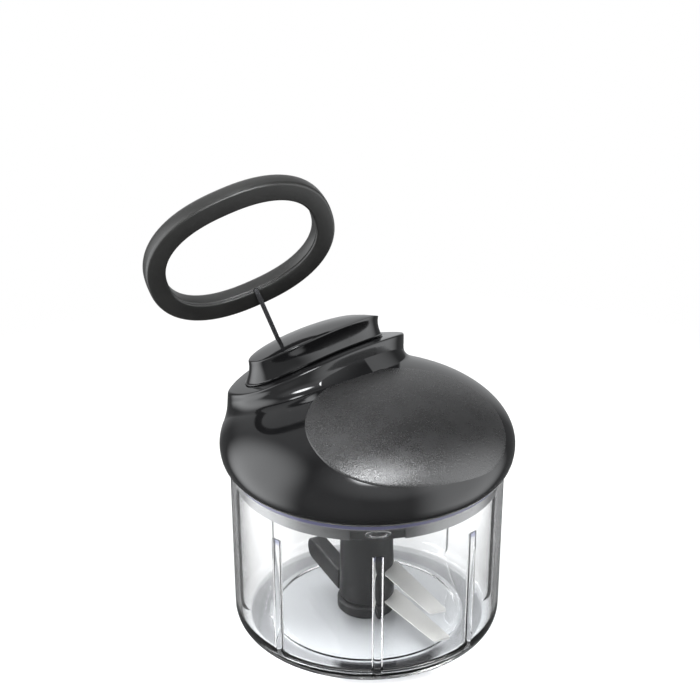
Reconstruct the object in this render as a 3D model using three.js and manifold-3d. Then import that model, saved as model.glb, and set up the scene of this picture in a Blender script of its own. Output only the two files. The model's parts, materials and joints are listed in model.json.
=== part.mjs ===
// Pull-cord food chopper: a clear bowl, a domed lid with a cord reel inside, a blade set on a pin,
// and a ring handle on the cord. Millimetres, +Z up, origin at the middle of the bowl's underside.
import * as THREE from "three";
import { mergeVertices } from "three/addons/utils/BufferGeometryUtils.js";
import Module from "manifold-3d";

const wasm = await Module();
wasm.setup();

// Clearances
const fitGap = 0.3; // between pieces that rest on each other
const runGap = 0.4; // round pieces that turn
const overrun = 2; // how far a cutting solid runs past a face

// Bowl
const bowlRimRadius = 70;
const bowlRimHeight = 94.6;
const bowlTaper = 1; // how much narrower the foot is
const bowlFootRadius = bowlRimRadius - bowlTaper;
const bowlWall = 2.4;
const bowlCornerRadius = 10;
const bowlCornerStart = 1; // height at which the rounded foot begins
const bowlFloorTop = 4.2;
const bowlFloorEdgeInset = 9;
const bowlFloorEdgeRadius = bowlFootRadius - bowlFloorEdgeInset;
const bowlFloorEdgeHeight = 6;
const bowlRingInset = 11.4;
const bowlRingRadius = bowlFloorEdgeRadius - bowlRingInset; // raised ring on the floor
const bowlRingWidth = 2;
const bowlRingHeight = 0.8;
const bowlBossRadius = 6.5;
const bowlBossHeight = 3.5;
const featureTurn = 0.08; // how far the ribs and pips are turned from the front
const ribCount = 8;
const ribWidth = 4.8;
const ribDepth = 1.5;
const ribDrop = 18.6; // from the rim down to the ribs
const ribTop = bowlRimHeight - ribDrop;
const pipCount = 2;
const pipLength = 12.4;
const pipHeight = 3.6;
const pipDepth = 0.8;
const pipDrop = 6;
const pipMiddle = bowlRimHeight - pipDrop;
const pipSquareness = 2.4;

// Pivot pin in the bowl
const pinSeat = 2;
const pinRadius = 2.5;
const pinTop = 30;

// Lid shell
const domeOverhang = 5; // how far the lid reaches past the bowl
const domeRadius = bowlRimRadius + domeOverhang;
const domeWidestRise = 9.4;
const domeWidestHeight = bowlRimHeight + domeWidestRise;
const domeRise = 43.4;
const domeTop = bowlRimHeight + domeRise;
const domeWall = 2.6;
const domeEdgeInset = 3.8;
const domeEdgeRadius = domeRadius - domeEdgeInset;
const domeSteps = 8;

// Raised shoulder at the back left of the lid, laid out along its own length and width
const shoulderTurn = 0.64; // angle of its length from +X
const shoulderOutShare = 0.6; // of the bowl's radius, as the two below
const shoulderOut = shoulderOutShare * bowlRimRadius; // distance of its middle from the lid's axis
const shoulderShift = -2; // offset of its middle along its length
const ledgeLengthShare = 0.7;
const ledgeHalfLength = ledgeLengthShare * bowlRimRadius;
const ledgeWidthShare = 0.45;
const ledgeHalfWidth = ledgeWidthShare * bowlRimRadius;
const ledgeRound = 1.4;
const ledgeSquareness = 2.4; // exponent of the oval outlines
const ledgeDrop = 0.6;
const ledgeMiddleHeight = domeTop - ledgeDrop;
const ledgeBackFall = 12.4; // how much lower the back edge lies than the middle
const ledgeSag = 6; // how far the ends curve down
const ledgeRise = 4; // how much higher the right end lies than the middle
const shoulderLimit = 40; // height above the dome that clears everything on the shoulder
const deckThickness = 2.4;

// Cap that the ring handle nests round
const capShift = -4.2; // offset of its middle along the shoulder
const capInward = 1.6;
const capOut = shoulderOut - capInward; // distance of its middle from the lid's axis
const ledgeEndWidth = 10; // width of the ledge at the cap's ends
const capHalfLength = ledgeHalfLength - ledgeEndWidth;
const ledgeSideWidth = 12.1;
const capHalfWidth = ledgeHalfWidth - ledgeSideWidth;
const capWallHeight = 13;
const capDraft = 1.6;
const capCrown = 2.4;
const capEdgeRound = 1.4;
const capWall = 2;
const capSeatDepth = 1.8; // seat of each screw below the deck
const capScrewReach = 24; // distance of each screw from the cap's middle
const capBossRadius = 3.6;
const capPostGap = 2; // from the ledge to a screw post of the cap

// Soft pad for the steadying hand
const padMiddle = [19.2, -26.2];
const padTurn = 0.5; // angle of its length from +X
const padEndInset = 23.5;
const padHalfLength = domeRadius - padEndInset;
const padSideInset = 35;
const padHalfWidth = domeRadius - padSideInset;
const padSquareness = 2.1;
const padProud = 0.5;
const padDepth = 0.9;

// Lid base, its skirt and seal
const skirtReach = 10.1;
const skirtBottom = bowlRimHeight - skirtReach;
const skirtGap = 0.9; // play between the skirt and the bowl
const skirtWall = 2.4;
const basePlateDrop = 1.6;
const basePlateBottom = bowlRimHeight - basePlateDrop;
const basePlateRise = 2.8;
const basePlateTop = bowlRimHeight + basePlateRise;
const basePlateThickness = 2.2;
const sealDrop = 3.1;
const sealBottom = bowlRimHeight - sealDrop;
const sealHeight = 1.9;
const sealDepth = 1.2;
const notchWidth = 27;
const notchDepth = 1.1;

// Screws that hold the lid base to the shell
const coverScrewCount = 4;
const coverScrewInset = 16;
const coverScrewCircle = bowlRimRadius - coverScrewInset;
const coverScrewTurn = 0.25;
const screwRadius = 1.4;
const screwHeadRadius = 3;
const screwHeadHeight = 2;
const screwLength = 13;
const bossRadius = 4.2;

// Reel, spring and one-way clutch
const axleRadius = 3;
const axleDrop = 6;
const axleTop = domeTop - axleDrop;
const reelLift = 7;
const reelBottom = basePlateTop + reelLift;
const reelHeight = 13.8;
const reelTop = reelBottom + reelHeight;
const reelFlange = 1.8;
const reelFlangeRadius = 24;
const reelCoreRadius = 13.5;
const coilRadius = 19.6;
const springHubRadius = 6.6;
const springLift = 0.8;
const springBottom = reelTop + springLift;
const springHeight = 5.6;
const springInnerRadius = 7.4;
const springOuterRadius = 23;
const springBand = 0.7;
const springTurns = 5;
const springStepsPerTurn = 14;
const springCoverRadius = 26;
const springCoverWall = 1.2;
const ratchetTeeth = 12;
const ratchetRadius = 22.6;
const ratchetRoot = 20.4;
const ratchetTip = 18.4;
const ratchetDrop = 3.4;
const ratchetBottom = reelBottom - ratchetDrop;
const clutchPlateRadius = 15.5;
const clutchPlateDrop = 2.4;
const clutchPlateBottom = ratchetBottom - clutchPlateDrop;
const clutchPlateThickness = 2;
const spindleRadius = 6.8;
const bushWall = 1.6;
const bushFlange = 2.2;
const hexSides = 6;
const hexRadius = 6.2; // from the axis to a corner
const hexReach = 25;
const hexBottom = basePlateBottom - hexReach;
const pawlCount = 2;
const pawlThickness = 2.1;
const pawlPivotReach = 11.5;
const pawlWidth = 3.2;
const pawlPinRadius = 1;
const pawlLean = 0.75; // angle from a pawl's pin to its tip

// Blade set
const columnRadius = 14.3;
const columnTopRadius = 13.4;
const columnBottom = 13;
const columnOverlap = 12; // how far the spindle reaches into the column
const columnTop = hexBottom + columnOverlap;
const columnWall = 3;
const collarRadius = 15.4;
const collarBottom = 5.6;
const bladeThickness = 1.2;
const bladeLowHeight = 13.8;
const bladeHighHeight = 31.5;
const bladeLowTurn = -1.02; // directions in which the blades point
const bladeHighTurn = -1.07;
const bladeClearance = 10.6; // from a blade's tip to the widest circle of the bowl
const bladeReach = bowlRimRadius - bladeClearance;
const bladeRootReach = 7.6; // how near the blades come to the axis
const bladeRootEdges = [1.9, 13.7]; // places of the two edges beside the axis
const bladeTipEdges = [4, 12.6];
const bladeTipRake = 1.4;
const wingTurn = 2.02;
const wingClearance = 22.5;
const wingReach = bowlRimRadius - wingClearance;
const wingSide = 4.6; // place of its inner face beside the axis
const wingThickness = 8.6;
const wingBottom = 14.2;
const wingTop = 25.8;
const wingRound = 5.4;
const bushRadius = 4.4;

// Cord and ring handle
const cordRadius = 1.2;
const cordSides = 8;
const cordStep = 6; // length of cord between two rings of points
const innerRunSteps = 16;
const innerRunLead = 5; // straight stretch below the eyelet
const eyeletAlong = -4.5; // where the cord leaves the ledge, along and across the shoulder
const eyeletOut = 25.2; // from the shoulder's middle to the cord
const eyeletAcross = shoulderOut + eyeletOut;
const eyeletRadius = 3.4;
const eyeletFlangeRadius = 4.4;
const eyeletFlange = 1;
const eyeletLength = 8;
const cordFree = 41.8; // length between the eyelet and the bend round the ring's edge
const cordLean = [-0.3005, -0.2405, 0.9229]; // direction of the taut cord
const ringFar = [-0.245, -0.293, 0.924]; // from the cord's side across the ring
const ringLong = [-0.904, -0.274, -0.327]; // along the ring's length
const ringEndOverhang = 1.5;
const ringHalfLength = ledgeHalfLength + ringEndOverhang;
const ringSideOverhang = 4.5;
const ringHalfWidth = ledgeHalfWidth + ringSideOverhang;
const ringSquareness = 2.33;
const ringBar = 10.2;
const ringThickness = 12.8;
const ringStations = 40;
const bendInset = 9; // from the outer edge of the ring to the end of the taut cord
const bendPast = 1.7; // how far the bend runs on past that end
const bendRise = 0.45;
const knotRadius = 2.1;
const knotBack = 2.6; // from the end of the taut cord back to the knot
const knotRise = 6.2; // and up into the ring

// Round shapes
const roundSegments = 40;
const smallSegments = 16;
const screwSegments = 8;
const wheelSegments = 32;
const ovalSegments = 36;

const clear = { color: 0xe6ecf2, roughness: 0.06, metalness: 0, transparent: true, opacity: 0.3 };
const gloss = { color: 0x0c0c0d, roughness: 0.12, metalness: 0 };
const soft = { color: 0x222324, roughness: 0.65, metalness: 0 };
const black = { color: 0x151516, roughness: 0.4, metalness: 0 };
const steel = { color: 0xc9ccce, roughness: 0.28, metalness: 1 };
const white = { color: 0xe8e6df, roughness: 0.5, metalness: 0 };
const braid = { color: 0x18181a, roughness: 0.85, metalness: 0 };
const rubber = { color: 0x2c2d2f, roughness: 0.8, metalness: 0 };

// A closed geometry as a solid that can be joined and cut
function solid(geometry) {
  const bare = geometry.clone();
  bare.deleteAttribute("normal");
  bare.deleteAttribute("uv");
  const merged = mergeVertices(bare);
  const index = Array.from(merged.index.array);
  const triVerts = [];
  for (let i = 0; i < index.length; i += 3) {
    const [a, b, c] = index.slice(i, i + 3);
    if (a !== b && b !== c && c !== a) triVerts.push(a, b, c);
  }
  const vertProperties = new Float32Array(merged.attributes.position.array);
  return new wasm.Manifold(
    new wasm.Mesh({ numProp: 3, vertProperties, triVerts: new Uint32Array(triVerts) }),
  );
}

function geometryOf(body) {
  const mesh = body.getMesh();
  const geometry = new THREE.BufferGeometry();
  geometry.setAttribute("position", new THREE.BufferAttribute(new Float32Array(mesh.vertProperties), 3));
  geometry.setIndex(Array.from(mesh.triVerts));
  geometry.computeVertexNormals();
  return geometry;
}

function joined(first, ...rest) {
  return rest.reduce((sum, next) => sum.add(next), first);
}

function cut(first, ...tools) {
  return tools.reduce((left, tool) => left.subtract(tool), first);
}

// A turned shape round +Z from radius and height pairs, up the outside and down the inside
function turned(profile, segments = roundSegments) {
  const points = profile.map(([radius, height]) => new THREE.Vector2(radius, height));
  return new THREE.LatheGeometry(points, segments).rotateX(Math.PI / 2);
}

function rod(radius, low, high, segments = smallSegments) {
  return turned([[0, low], [radius, low], [radius, high], [0, high]], segments);
}

function tube(inner, outer, low, high, segments = smallSegments) {
  return turned([[inner, low], [outer, low], [outer, high], [inner, high], [inner, low]], segments);
}

// A flat outline raised from one height to another
function plate(outline, low, high) {
  const shape = new THREE.Shape(outline.map(([x, y]) => new THREE.Vector2(x, y)));
  const geometry = new THREE.ExtrudeGeometry(shape, { depth: high - low, bevelEnabled: false });
  return geometry.translate(0, 0, low);
}

// A closed surface through stacked rings of points, from a first middle point to a last one
function skin(rings, first, last) {
  const count = rings[0].length;
  const positions = [...rings.flat(), first, last];
  const index = [];
  const firstIndex = rings.length * count;
  rings.slice(1).forEach((ring, row) => {
    ring.forEach((point, j) => {
      const next = (j + 1) % count;
      const low = row * count;
      const high = low + count;
      index.push(low + j, low + next, high + next, low + j, high + next, high + j);
    });
  });
  for (let j = 0; j < count; j++) {
    const next = (j + 1) % count;
    const top = firstIndex - count;
    index.push(firstIndex, next, j, firstIndex + 1, top + j, top + next);
  }
  const geometry = new THREE.BufferGeometry();
  geometry.setAttribute("position", new THREE.Float32BufferAttribute(positions.flat(), 3));
  geometry.setIndex(index);
  return geometry;
}

// One ring of an oval with softened corners; height is a function of the place
function ovalRing(halfLength, halfWidth, squareness, middle, height) {
  const ring = [];
  for (let j = 0; j < ovalSegments; j++) {
    const angle = (2 * Math.PI * j) / ovalSegments;
    const c = Math.cos(angle);
    const s = Math.sin(angle);
    const x = middle[0] + halfLength * Math.sign(c) * Math.abs(c) ** (2 / squareness);
    const y = middle[1] + halfWidth * Math.sign(s) * Math.abs(s) ** (2 / squareness);
    ring.push([x, y, height(x, y)]);
  }
  return ring;
}

function ovalPlate(halfLength, halfWidth, squareness, middle, low, high) {
  const ringAt = (level) => ovalRing(halfLength, halfWidth, squareness, middle, () => level);
  return skin([ringAt(low), ringAt(high)], [...middle, low], [...middle, high]);
}

function named(name, geometry, look) {
  if (!geometry.attributes.normal) geometry.computeVertexNormals();
  const mesh = new THREE.Mesh(geometry, new THREE.MeshStandardMaterial(look));
  mesh.name = name;
  return mesh;
}

function around(count, start, place) {
  const placed = [];
  for (let i = 0; i < count; i++) placed.push(place(start + (2 * Math.PI * i) / count, i));
  return placed;
}

// Bowl
const bowlInnerRim = bowlRimRadius - bowlWall;
const bowlInnerFoot = bowlFootRadius - bowlWall;
const frontTurn = featureTurn - Math.PI / 2;

function cornerArc(radius, cornerRadius, bottom) {
  const steps = 5;
  const arc = [];
  for (let i = 0; i <= steps; i++) {
    const angle = (-Math.PI / 2) * (1 - i / steps);
    arc.push([
      radius - cornerRadius + cornerRadius * Math.cos(angle),
      bottom + cornerRadius + cornerRadius * Math.sin(angle),
    ]);
  }
  return arc;
}

function bowlGeometry() {
  const outside = cornerArc(bowlFootRadius, bowlCornerRadius, bowlCornerStart);
  const innerCorner = cornerArc(bowlInnerFoot, bowlInnerFoot - bowlFloorEdgeRadius, bowlFloorEdgeHeight);
  const footEdge = bowlFootRadius - bowlCornerRadius;
  const shell = turned([
    [0, 0],
    [footEdge - bowlCornerStart, 0],
    ...outside,
    [bowlRimRadius, bowlRimHeight],
    [bowlInnerRim, bowlRimHeight],
    ...innerCorner.reverse(),
    [bowlRingRadius + bowlRingWidth, bowlFloorTop],
    [bowlRingRadius, bowlFloorTop + bowlRingHeight],
    [bowlRingRadius - bowlRingWidth, bowlFloorTop],
    [bowlBossRadius, bowlFloorTop],
    [bowlBossRadius, bowlFloorTop + bowlBossHeight],
    [pinRadius + fitGap, bowlFloorTop + bowlBossHeight],
    [pinRadius + fitGap, pinSeat],
    [0, pinSeat],
  ]);
  const ribs = around(ribCount, frontTurn, (angle) => solid(ribGeometry(angle)));
  const pips = around(pipCount, frontTurn, (angle) => solid(pipGeometry(angle)));
  return geometryOf(joined(solid(shell), ...ribs, ...pips));
}

// A rib is proud of the inner wall and narrows with the bowl towards its foot
function ribGeometry(angle) {
  const half = ribWidth / 2;
  const foot = bowlFloorEdgeHeight;
  const outer = bowlInnerFoot + bowlWall / 2;
  const outline = [
    [bowlFloorEdgeRadius - ribDepth, foot],
    [outer, foot],
    [outer, ribTop],
    [bowlInnerFoot - ribDepth, ribTop],
    [bowlInnerFoot - ribDepth, foot + bowlCornerRadius],
  ];
  const slab = plate(outline, -half, half);
  return slab.rotateX(Math.PI / 2).rotateZ(angle);
}

function pipGeometry(angle) {
  const inner = bowlInnerRim - pipDepth;
  const outline = ovalRing(pipLength / 2, pipHeight / 2, pipSquareness, [0, 0], () => 0);
  const pill = plate(outline, inner, bowlInnerRim + bowlWall / 2);
  return pill.rotateX(Math.PI / 2).rotateZ(Math.PI / 2 + angle).translate(0, 0, pipMiddle);
}

// Lid shell
const domeInnerRadius = domeRadius - domeWall;
const edgeHeight = bowlRimHeight + fitGap;

// The dome at an offset outside (positive) or inside (negative) its surface
function domeProfile(offset, bottom) {
  const profile = [[0, bottom], [domeEdgeRadius + offset, bottom]];
  if (bottom < edgeHeight) profile.push([domeEdgeRadius + offset, edgeHeight]);
  for (let i = 0; i <= domeSteps; i++) {
    const angle = (Math.PI / 2) * (i / domeSteps);
    profile.push([
      (domeRadius + offset) * Math.cos(angle),
      domeWidestHeight + (domeTop - domeWidestHeight + offset) * Math.sin(angle),
    ]);
  }
  profile[profile.length - 1][0] = 0;
  return profile;
}

const domeSolid = (offset, bottom) => solid(turned(domeProfile(offset, bottom)));

// Height of the ledge over a place in the shoulder's own frame
function ledgeHeight(along, across) {
  const lengthShare = (along - shoulderShift) / ledgeHalfLength;
  const widthShare = (across - shoulderOut) / ledgeHalfWidth;
  const tilt = ledgeRise * lengthShare - ledgeBackFall * widthShare;
  return ledgeMiddleHeight + tilt - ledgeSag * lengthShare ** 2;
}

function ledgeNormal(along) {
  const lengthShare = (along - shoulderShift) / ledgeHalfLength;
  const slopeAlong = (ledgeRise - 2 * ledgeSag * lengthShare) / ledgeHalfLength;
  return new THREE.Vector3(-slopeAlong, ledgeBackFall / ledgeHalfWidth, 1).normalize();
}

const shoulderMiddle = [shoulderShift, shoulderOut];
const capMiddle = [capShift, capOut];

// The shoulder's block, drawn in by an inset and lowered by a drop
function shoulderSolid(inset, drop, bottom) {
  const length = ledgeHalfLength - inset;
  const width = ledgeHalfWidth - inset;
  const ringAt = (halfLength, halfWidth, sink) => {
    const height = (x, y) => ledgeHeight(x, y) - sink;
    return ovalRing(halfLength, halfWidth, ledgeSquareness, shoulderMiddle, height);
  };
  const foot = ovalRing(length, width, ledgeSquareness, shoulderMiddle, () => bottom);
  const rim = ringAt(length, width, drop + ledgeRound);
  const edge = ringAt(length - ledgeRound, width - ledgeRound, drop);
  const innerShares = [0.7, 0.4];
  const inner = innerShares.map((share) => ringAt(length * share, width * share, drop));
  const rings = [foot, rim, edge, ...inner];
  const middleTop = ledgeHeight(...shoulderMiddle) - drop;
  const block = skin(rings, [...shoulderMiddle, bottom], [...shoulderMiddle, middleTop]);
  const limit = rod(domeRadius - inset, bottom - overrun, domeTop + shoulderLimit, roundSegments);
  return solid(block.rotateZ(shoulderTurn)).intersect(solid(limit));
}

const coverScrewPlaces = around(coverScrewCount, coverScrewTurn, (angle) => [
  coverScrewCircle * Math.cos(angle),
  coverScrewCircle * Math.sin(angle),
]);
const capScrewPlaces = [-1, 1].map((side) => [capShift + side * capScrewReach, capOut]);
const screwBore = screwRadius + fitGap;
const capScrewSeat = ([x, y]) => ledgeHeight(x, y) - deckThickness - capSeatDepth - screwHeadHeight;

function padBlank(grow) {
  const blank = ovalPlate(
    padHalfLength + grow,
    padHalfWidth + grow,
    padSquareness,
    [0, 0],
    domeWidestHeight,
    domeTop + domeWall + padProud,
  );
  return solid(blank.rotateZ(padTurn).translate(...padMiddle, 0));
}

// The cord leaves the ledge through an eyelet that stands square to the ledge
const cordAxis = new THREE.Vector3(...cordLean).normalize();
const turnShoulder = new THREE.Matrix4().makeRotationZ(shoulderTurn);
const eyeletHeight = ledgeHeight(eyeletAlong, eyeletAcross);
const cordMouth = new THREE.Vector3(eyeletAlong, eyeletAcross, eyeletHeight).applyMatrix4(turnShoulder);
const eyeletAxis = ledgeNormal(eyeletAlong).applyMatrix4(turnShoulder);

// A geometry made along +Z, laid along an axis with its origin at the eyelet's mouth
function fromMouth(geometry, axis) {
  const lean = new THREE.Quaternion().setFromUnitVectors(new THREE.Vector3(0, 0, 1), axis);
  return geometry.applyQuaternion(lean).translate(...cordMouth.toArray());
}

function housingGeometry() {
  const domeBottom = edgeHeight;
  const outside = joined(domeSolid(0, domeBottom), shoulderSolid(0, 0, domeWidestHeight));
  const inside = joined(
    domeSolid(-domeWall, domeBottom - overrun),
    shoulderSolid(domeWall, deckThickness, domeWidestHeight),
  );
  const recess = padBlank(fitGap).subtract(domeSolid(-padDepth - fitGap, domeBottom));
  const skinned = cut(outside, recess);
  const posts = coverScrewPlaces.map(([x, y]) =>
    solid(rod(bossRadius, basePlateTop + fitGap, domeTop).translate(x, y, 0)).intersect(skinned),
  );
  const seats = capScrewPlaces.map(([x, y]) => {
    const low = capScrewSeat([x, y]) + screwHeadHeight + fitGap;
    const seat = rod(bossRadius, low, ledgeHeight(x, y) - fitGap);
    return solid(seat.translate(x, y, 0).rotateZ(shoulderTurn)).intersect(outside);
  });
  const axleBoss = solid(rod(axleRadius + bushWall + domeWall, springCoverTop + fitGap, domeTop)).intersect(
    domeSolid(-domeWall / 2, domeBottom),
  );
  const shell = joined(cut(skinned, inside), ...posts, ...seats, axleBoss);
  const bores = coverScrewPlaces.map(([x, y]) =>
    solid(rod(screwBore, domeBottom - overrun, basePlateBottom + screwLength + fitGap).translate(x, y, 0)),
  );
  const capBores = capScrewPlaces.map(([x, y]) => {
    const bore = rod(screwBore, domeWidestHeight, domeTop + shoulderLimit);
    return solid(bore.translate(x, y, 0).rotateZ(shoulderTurn));
  });
  const axleBore = solid(rod(axleRadius + fitGap, domeBottom, axleTop + fitGap));
  const barrel = rod(eyeletRadius + fitGap, -eyeletLength - fitGap, overrun);
  const flange = rod(eyeletFlangeRadius + fitGap, -eyeletFlange - fitGap, overrun);
  const eyeletBores = [barrel, flange].map((bore) => solid(fromMouth(bore, eyeletAxis)));
  return geometryOf(cut(shell, ...bores, ...capBores, axleBore, ...eyeletBores));
}

function padGeometry() {
  const sheet = cut(domeSolid(padProud, edgeHeight), domeSolid(-padDepth, edgeHeight - overrun));
  return geometryOf(sheet.intersect(padBlank(0)));
}

// Cap: an open-bottomed shell that stands on the ledge
function capRing(inset, lift, share = 1) {
  return ovalRing(
    (capHalfLength - inset) * share,
    (capHalfWidth - inset) * share,
    ledgeSquareness,
    capMiddle,
    (x, y) => ledgeHeight(x, y) + lift,
  );
}

function capSolid(inset, drop, foot) {
  const top = capWallHeight - drop;
  const crownShares = [0.8, 0.55, 0.28];
  const crown = crownShares.map((share) =>
    capRing(inset + capDraft, top + capCrown * (1 - share * share), share),
  );
  const footShares = [0.3, 0.6, 0.85];
  const rings = [
    ...footShares.map((share) => capRing(inset, foot, share)),
    capRing(inset, foot),
    capRing(inset + capDraft / 2, top - capEdgeRound),
    capRing(inset + capDraft, top),
    ...crown,
  ];
  const middle = (lift) => [...capMiddle, ledgeHeight(...capMiddle) + lift];
  return solid(skin(rings, middle(foot), middle(top + capCrown)));
}

function capGeometry() {
  const outside = capSolid(0, 0, fitGap);
  const inside = capSolid(capWall, capWall, -overrun);
  const posts = capScrewPlaces.map(([x, y]) => {
    const post = rod(capBossRadius, ledgeHeight(x, y) + capPostGap, domeTop + shoulderLimit);
    return solid(post.translate(x, y, 0)).intersect(outside);
  });
  const shell = joined(cut(outside, inside), ...posts);
  const bores = capScrewPlaces.map(([x, y]) => {
    const bore = rod(screwBore, ledgeHeight(x, y) - overrun, capScrewSeat([x, y]) + screwLength + fitGap);
    return solid(bore.translate(x, y, 0));
  });
  return geometryOf(cut(shell, ...bores)).rotateZ(shoulderTurn);
}

// Lid base with skirt, seal groove and front notches
const skirtRadius = bowlInnerRim - skirtGap;
const bushOuter = spindleRadius + runGap + bushWall;

function baseGeometry() {
  const flangeRadius = domeEdgeRadius - domeWall - fitGap;
  const sealFloor = skirtRadius - sealDepth;
  const plateRadius = skirtRadius - skirtWall;
  const plateTop = basePlateBottom + basePlateThickness;
  const body = turned([
    [bushOuter + fitGap, basePlateBottom],
    [plateRadius, basePlateBottom],
    [plateRadius, skirtBottom],
    [skirtRadius, skirtBottom],
    [skirtRadius, sealBottom - fitGap],
    [sealFloor, sealBottom - fitGap],
    [sealFloor, sealBottom + sealHeight + fitGap],
    [skirtRadius, sealBottom + sealHeight + fitGap],
    [skirtRadius, bowlRimHeight + fitGap],
    [flangeRadius, bowlRimHeight + fitGap],
    [flangeRadius, basePlateTop],
    [plateRadius, basePlateTop],
    [plateRadius - skirtWall, plateTop],
    [bushOuter + fitGap, plateTop],
    [bushOuter + fitGap, basePlateBottom],
  ]);
  const pads = coverScrewPlaces.map(([x, y]) => {
    return solid(rod(bossRadius, plateTop - fitGap, basePlateTop).translate(x, y, 0));
  });
  const holes = coverScrewPlaces.map(([x, y]) =>
    solid(rod(screwBore, basePlateBottom - overrun, basePlateTop + overrun).translate(x, y, 0)),
  );
  const notches = around(pipCount, frontTurn, (angle) => {
    const height = sealBottom - skirtBottom + overrun;
    const block = new THREE.BoxGeometry(notchDepth + overrun, notchWidth, height);
    block.translate(skirtRadius - notchDepth + (notchDepth + overrun) / 2, 0, 0);
    block.translate(0, 0, (skirtBottom + sealBottom - overrun) / 2 - fitGap - notchDepth / 2);
    return solid(block.rotateZ(angle));
  });
  return geometryOf(cut(joined(solid(body), ...pads), ...holes, ...notches));
}

function sealGeometry() {
  const inner = skirtRadius - sealDepth + fitGap;
  const outer = bowlInnerRim - fitGap;
  const low = sealBottom;
  const high = sealBottom + sealHeight;
  const middle = (low + high) / 2;
  return turned([
    [inner, low],
    [skirtRadius, low],
    [outer, middle],
    [skirtRadius, high],
    [inner, high],
    [inner, low],
  ]);
}

function screwGeometry(low, length) {
  const head = low + screwHeadHeight;
  return turned(
    [
      [0, low],
      [screwHeadRadius, low],
      [screwHeadRadius, head],
      [screwRadius, head],
      [screwRadius, low + length],
      [0, low + length],
    ],
    screwSegments,
  );
}

// Reel, coil, spring and clutch
const reelBore = axleRadius + runGap;
const springCoverTop = springBottom + springHeight + runGap + springCoverWall;
const clutchPlateTop = clutchPlateBottom + clutchPlateThickness;
const pawlPlaces = around(pawlCount, 0, (angle) => [
  pawlPivotReach * Math.cos(angle),
  pawlPivotReach * Math.sin(angle),
]);

// The steep faces look clockwise, the way the reel turns when the cord is pulled, and push the pawls
function ratchetOutline() {
  const outline = [];
  for (let i = 0; i < ratchetTeeth; i++) {
    const start = (2 * Math.PI * i) / ratchetTeeth;
    const step = (2 * Math.PI) / ratchetTeeth;
    const slopes = 3;
    for (let j = 0; j < slopes; j++) {
      const radius = ratchetTip + ((ratchetRoot - ratchetTip) * j) / (slopes - 1);
      const share = j / slopes;
      outline.push([radius * Math.cos(start + step * share), radius * Math.sin(start + step * share)]);
    }
  }
  return outline;
}

function reelGeometry() {
  const spool = turned(
    [
      [reelBore, reelBottom],
      [reelFlangeRadius, reelBottom],
      [reelFlangeRadius, reelBottom + reelFlange],
      [reelCoreRadius, reelBottom + reelFlange],
      [reelCoreRadius, reelTop - reelFlange],
      [reelFlangeRadius, reelTop - reelFlange],
      [reelFlangeRadius, reelTop],
      [springHubRadius, reelTop],
      [springHubRadius, springBottom + springHeight],
      [reelBore, springBottom + springHeight],
      [reelBore, reelBottom],
    ],
    wheelSegments,
  );
  const rim = solid(rod(ratchetRadius, ratchetBottom, reelBottom + fitGap, wheelSegments));
  const teeth = solid(plate(ratchetOutline(), ratchetBottom - overrun, reelBottom));
  return geometryOf(joined(solid(spool), cut(rim, teeth, solid(rod(ratchetTip, ratchetBottom, reelTop)))));
}

function springGeometry() {
  const steps = springTurns * springStepsPerTurn;
  const inside = [];
  const outside = [];
  for (let i = 0; i <= steps; i++) {
    const angle = (2 * Math.PI * i) / springStepsPerTurn;
    const radius = springInnerRadius + ((springOuterRadius - springInnerRadius) * i) / steps;
    inside.push([radius * Math.cos(angle), radius * Math.sin(angle)]);
    outside.push([(radius + springBand) * Math.cos(angle), (radius + springBand) * Math.sin(angle)]);
  }
  return plate([...inside, ...outside.reverse()], springBottom, springBottom + springHeight);
}

function springCoverGeometry() {
  const bottom = reelTop + runGap;
  const inner = springCoverRadius - springCoverWall;
  const roof = springCoverTop - springCoverWall;
  return turned([
    [axleRadius + fitGap, roof],
    [inner, roof],
    [inner, bottom],
    [springCoverRadius, bottom],
    [springCoverRadius, springCoverTop],
    [axleRadius + fitGap, springCoverTop],
    [axleRadius + fitGap, roof],
  ]);
}

function spindleGeometry() {
  const hubTop = reelBottom - runGap;
  const plateAndHub = turned(
    [
      [0, hexBottom + hexRadius],
      [spindleRadius - bushWall, hexBottom + hexRadius],
      [spindleRadius, basePlateBottom - bushFlange],
      [spindleRadius, clutchPlateBottom],
      [clutchPlateRadius, clutchPlateBottom],
      [clutchPlateRadius, clutchPlateTop],
      [spindleRadius, clutchPlateTop],
      [spindleRadius, hubTop],
      [reelBore, hubTop],
      [reelBore, basePlateBottom],
      [0, basePlateBottom],
    ],
  );
  const hexagon = rod(hexRadius, hexBottom, basePlateBottom - bushFlange, hexSides);
  const pins = pawlPlaces.map(([x, y]) => {
    return solid(rod(pawlPinRadius, clutchPlateTop - fitGap, hubTop).translate(x, y, 0));
  });
  return geometryOf(joined(solid(plateAndHub), solid(hexagon), ...pins));
}

// A pawl leans from its pin out to the ratchet teeth
function pawlGeometry(angle) {
  const tip = ratchetTip - runGap;
  const half = pawlWidth / 2;
  const outline = [
    [pawlPivotReach - half, -half],
    [pawlPivotReach + half, -half],
    [tip * Math.cos(pawlLean / 2), tip * Math.sin(pawlLean / 2)],
    [tip * Math.cos(pawlLean), tip * Math.sin(pawlLean)],
    [pawlPivotReach, pawlWidth],
    [pawlPivotReach - half, half],
  ];
  const low = clutchPlateTop + fitGap;
  const body = solid(plate(outline, low, low + pawlThickness));
  const hole = solid(rod(pawlPinRadius + fitGap, low - overrun, reelTop).translate(pawlPivotReach, 0, 0));
  return geometryOf(body.subtract(hole)).rotateZ(angle);
}

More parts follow.
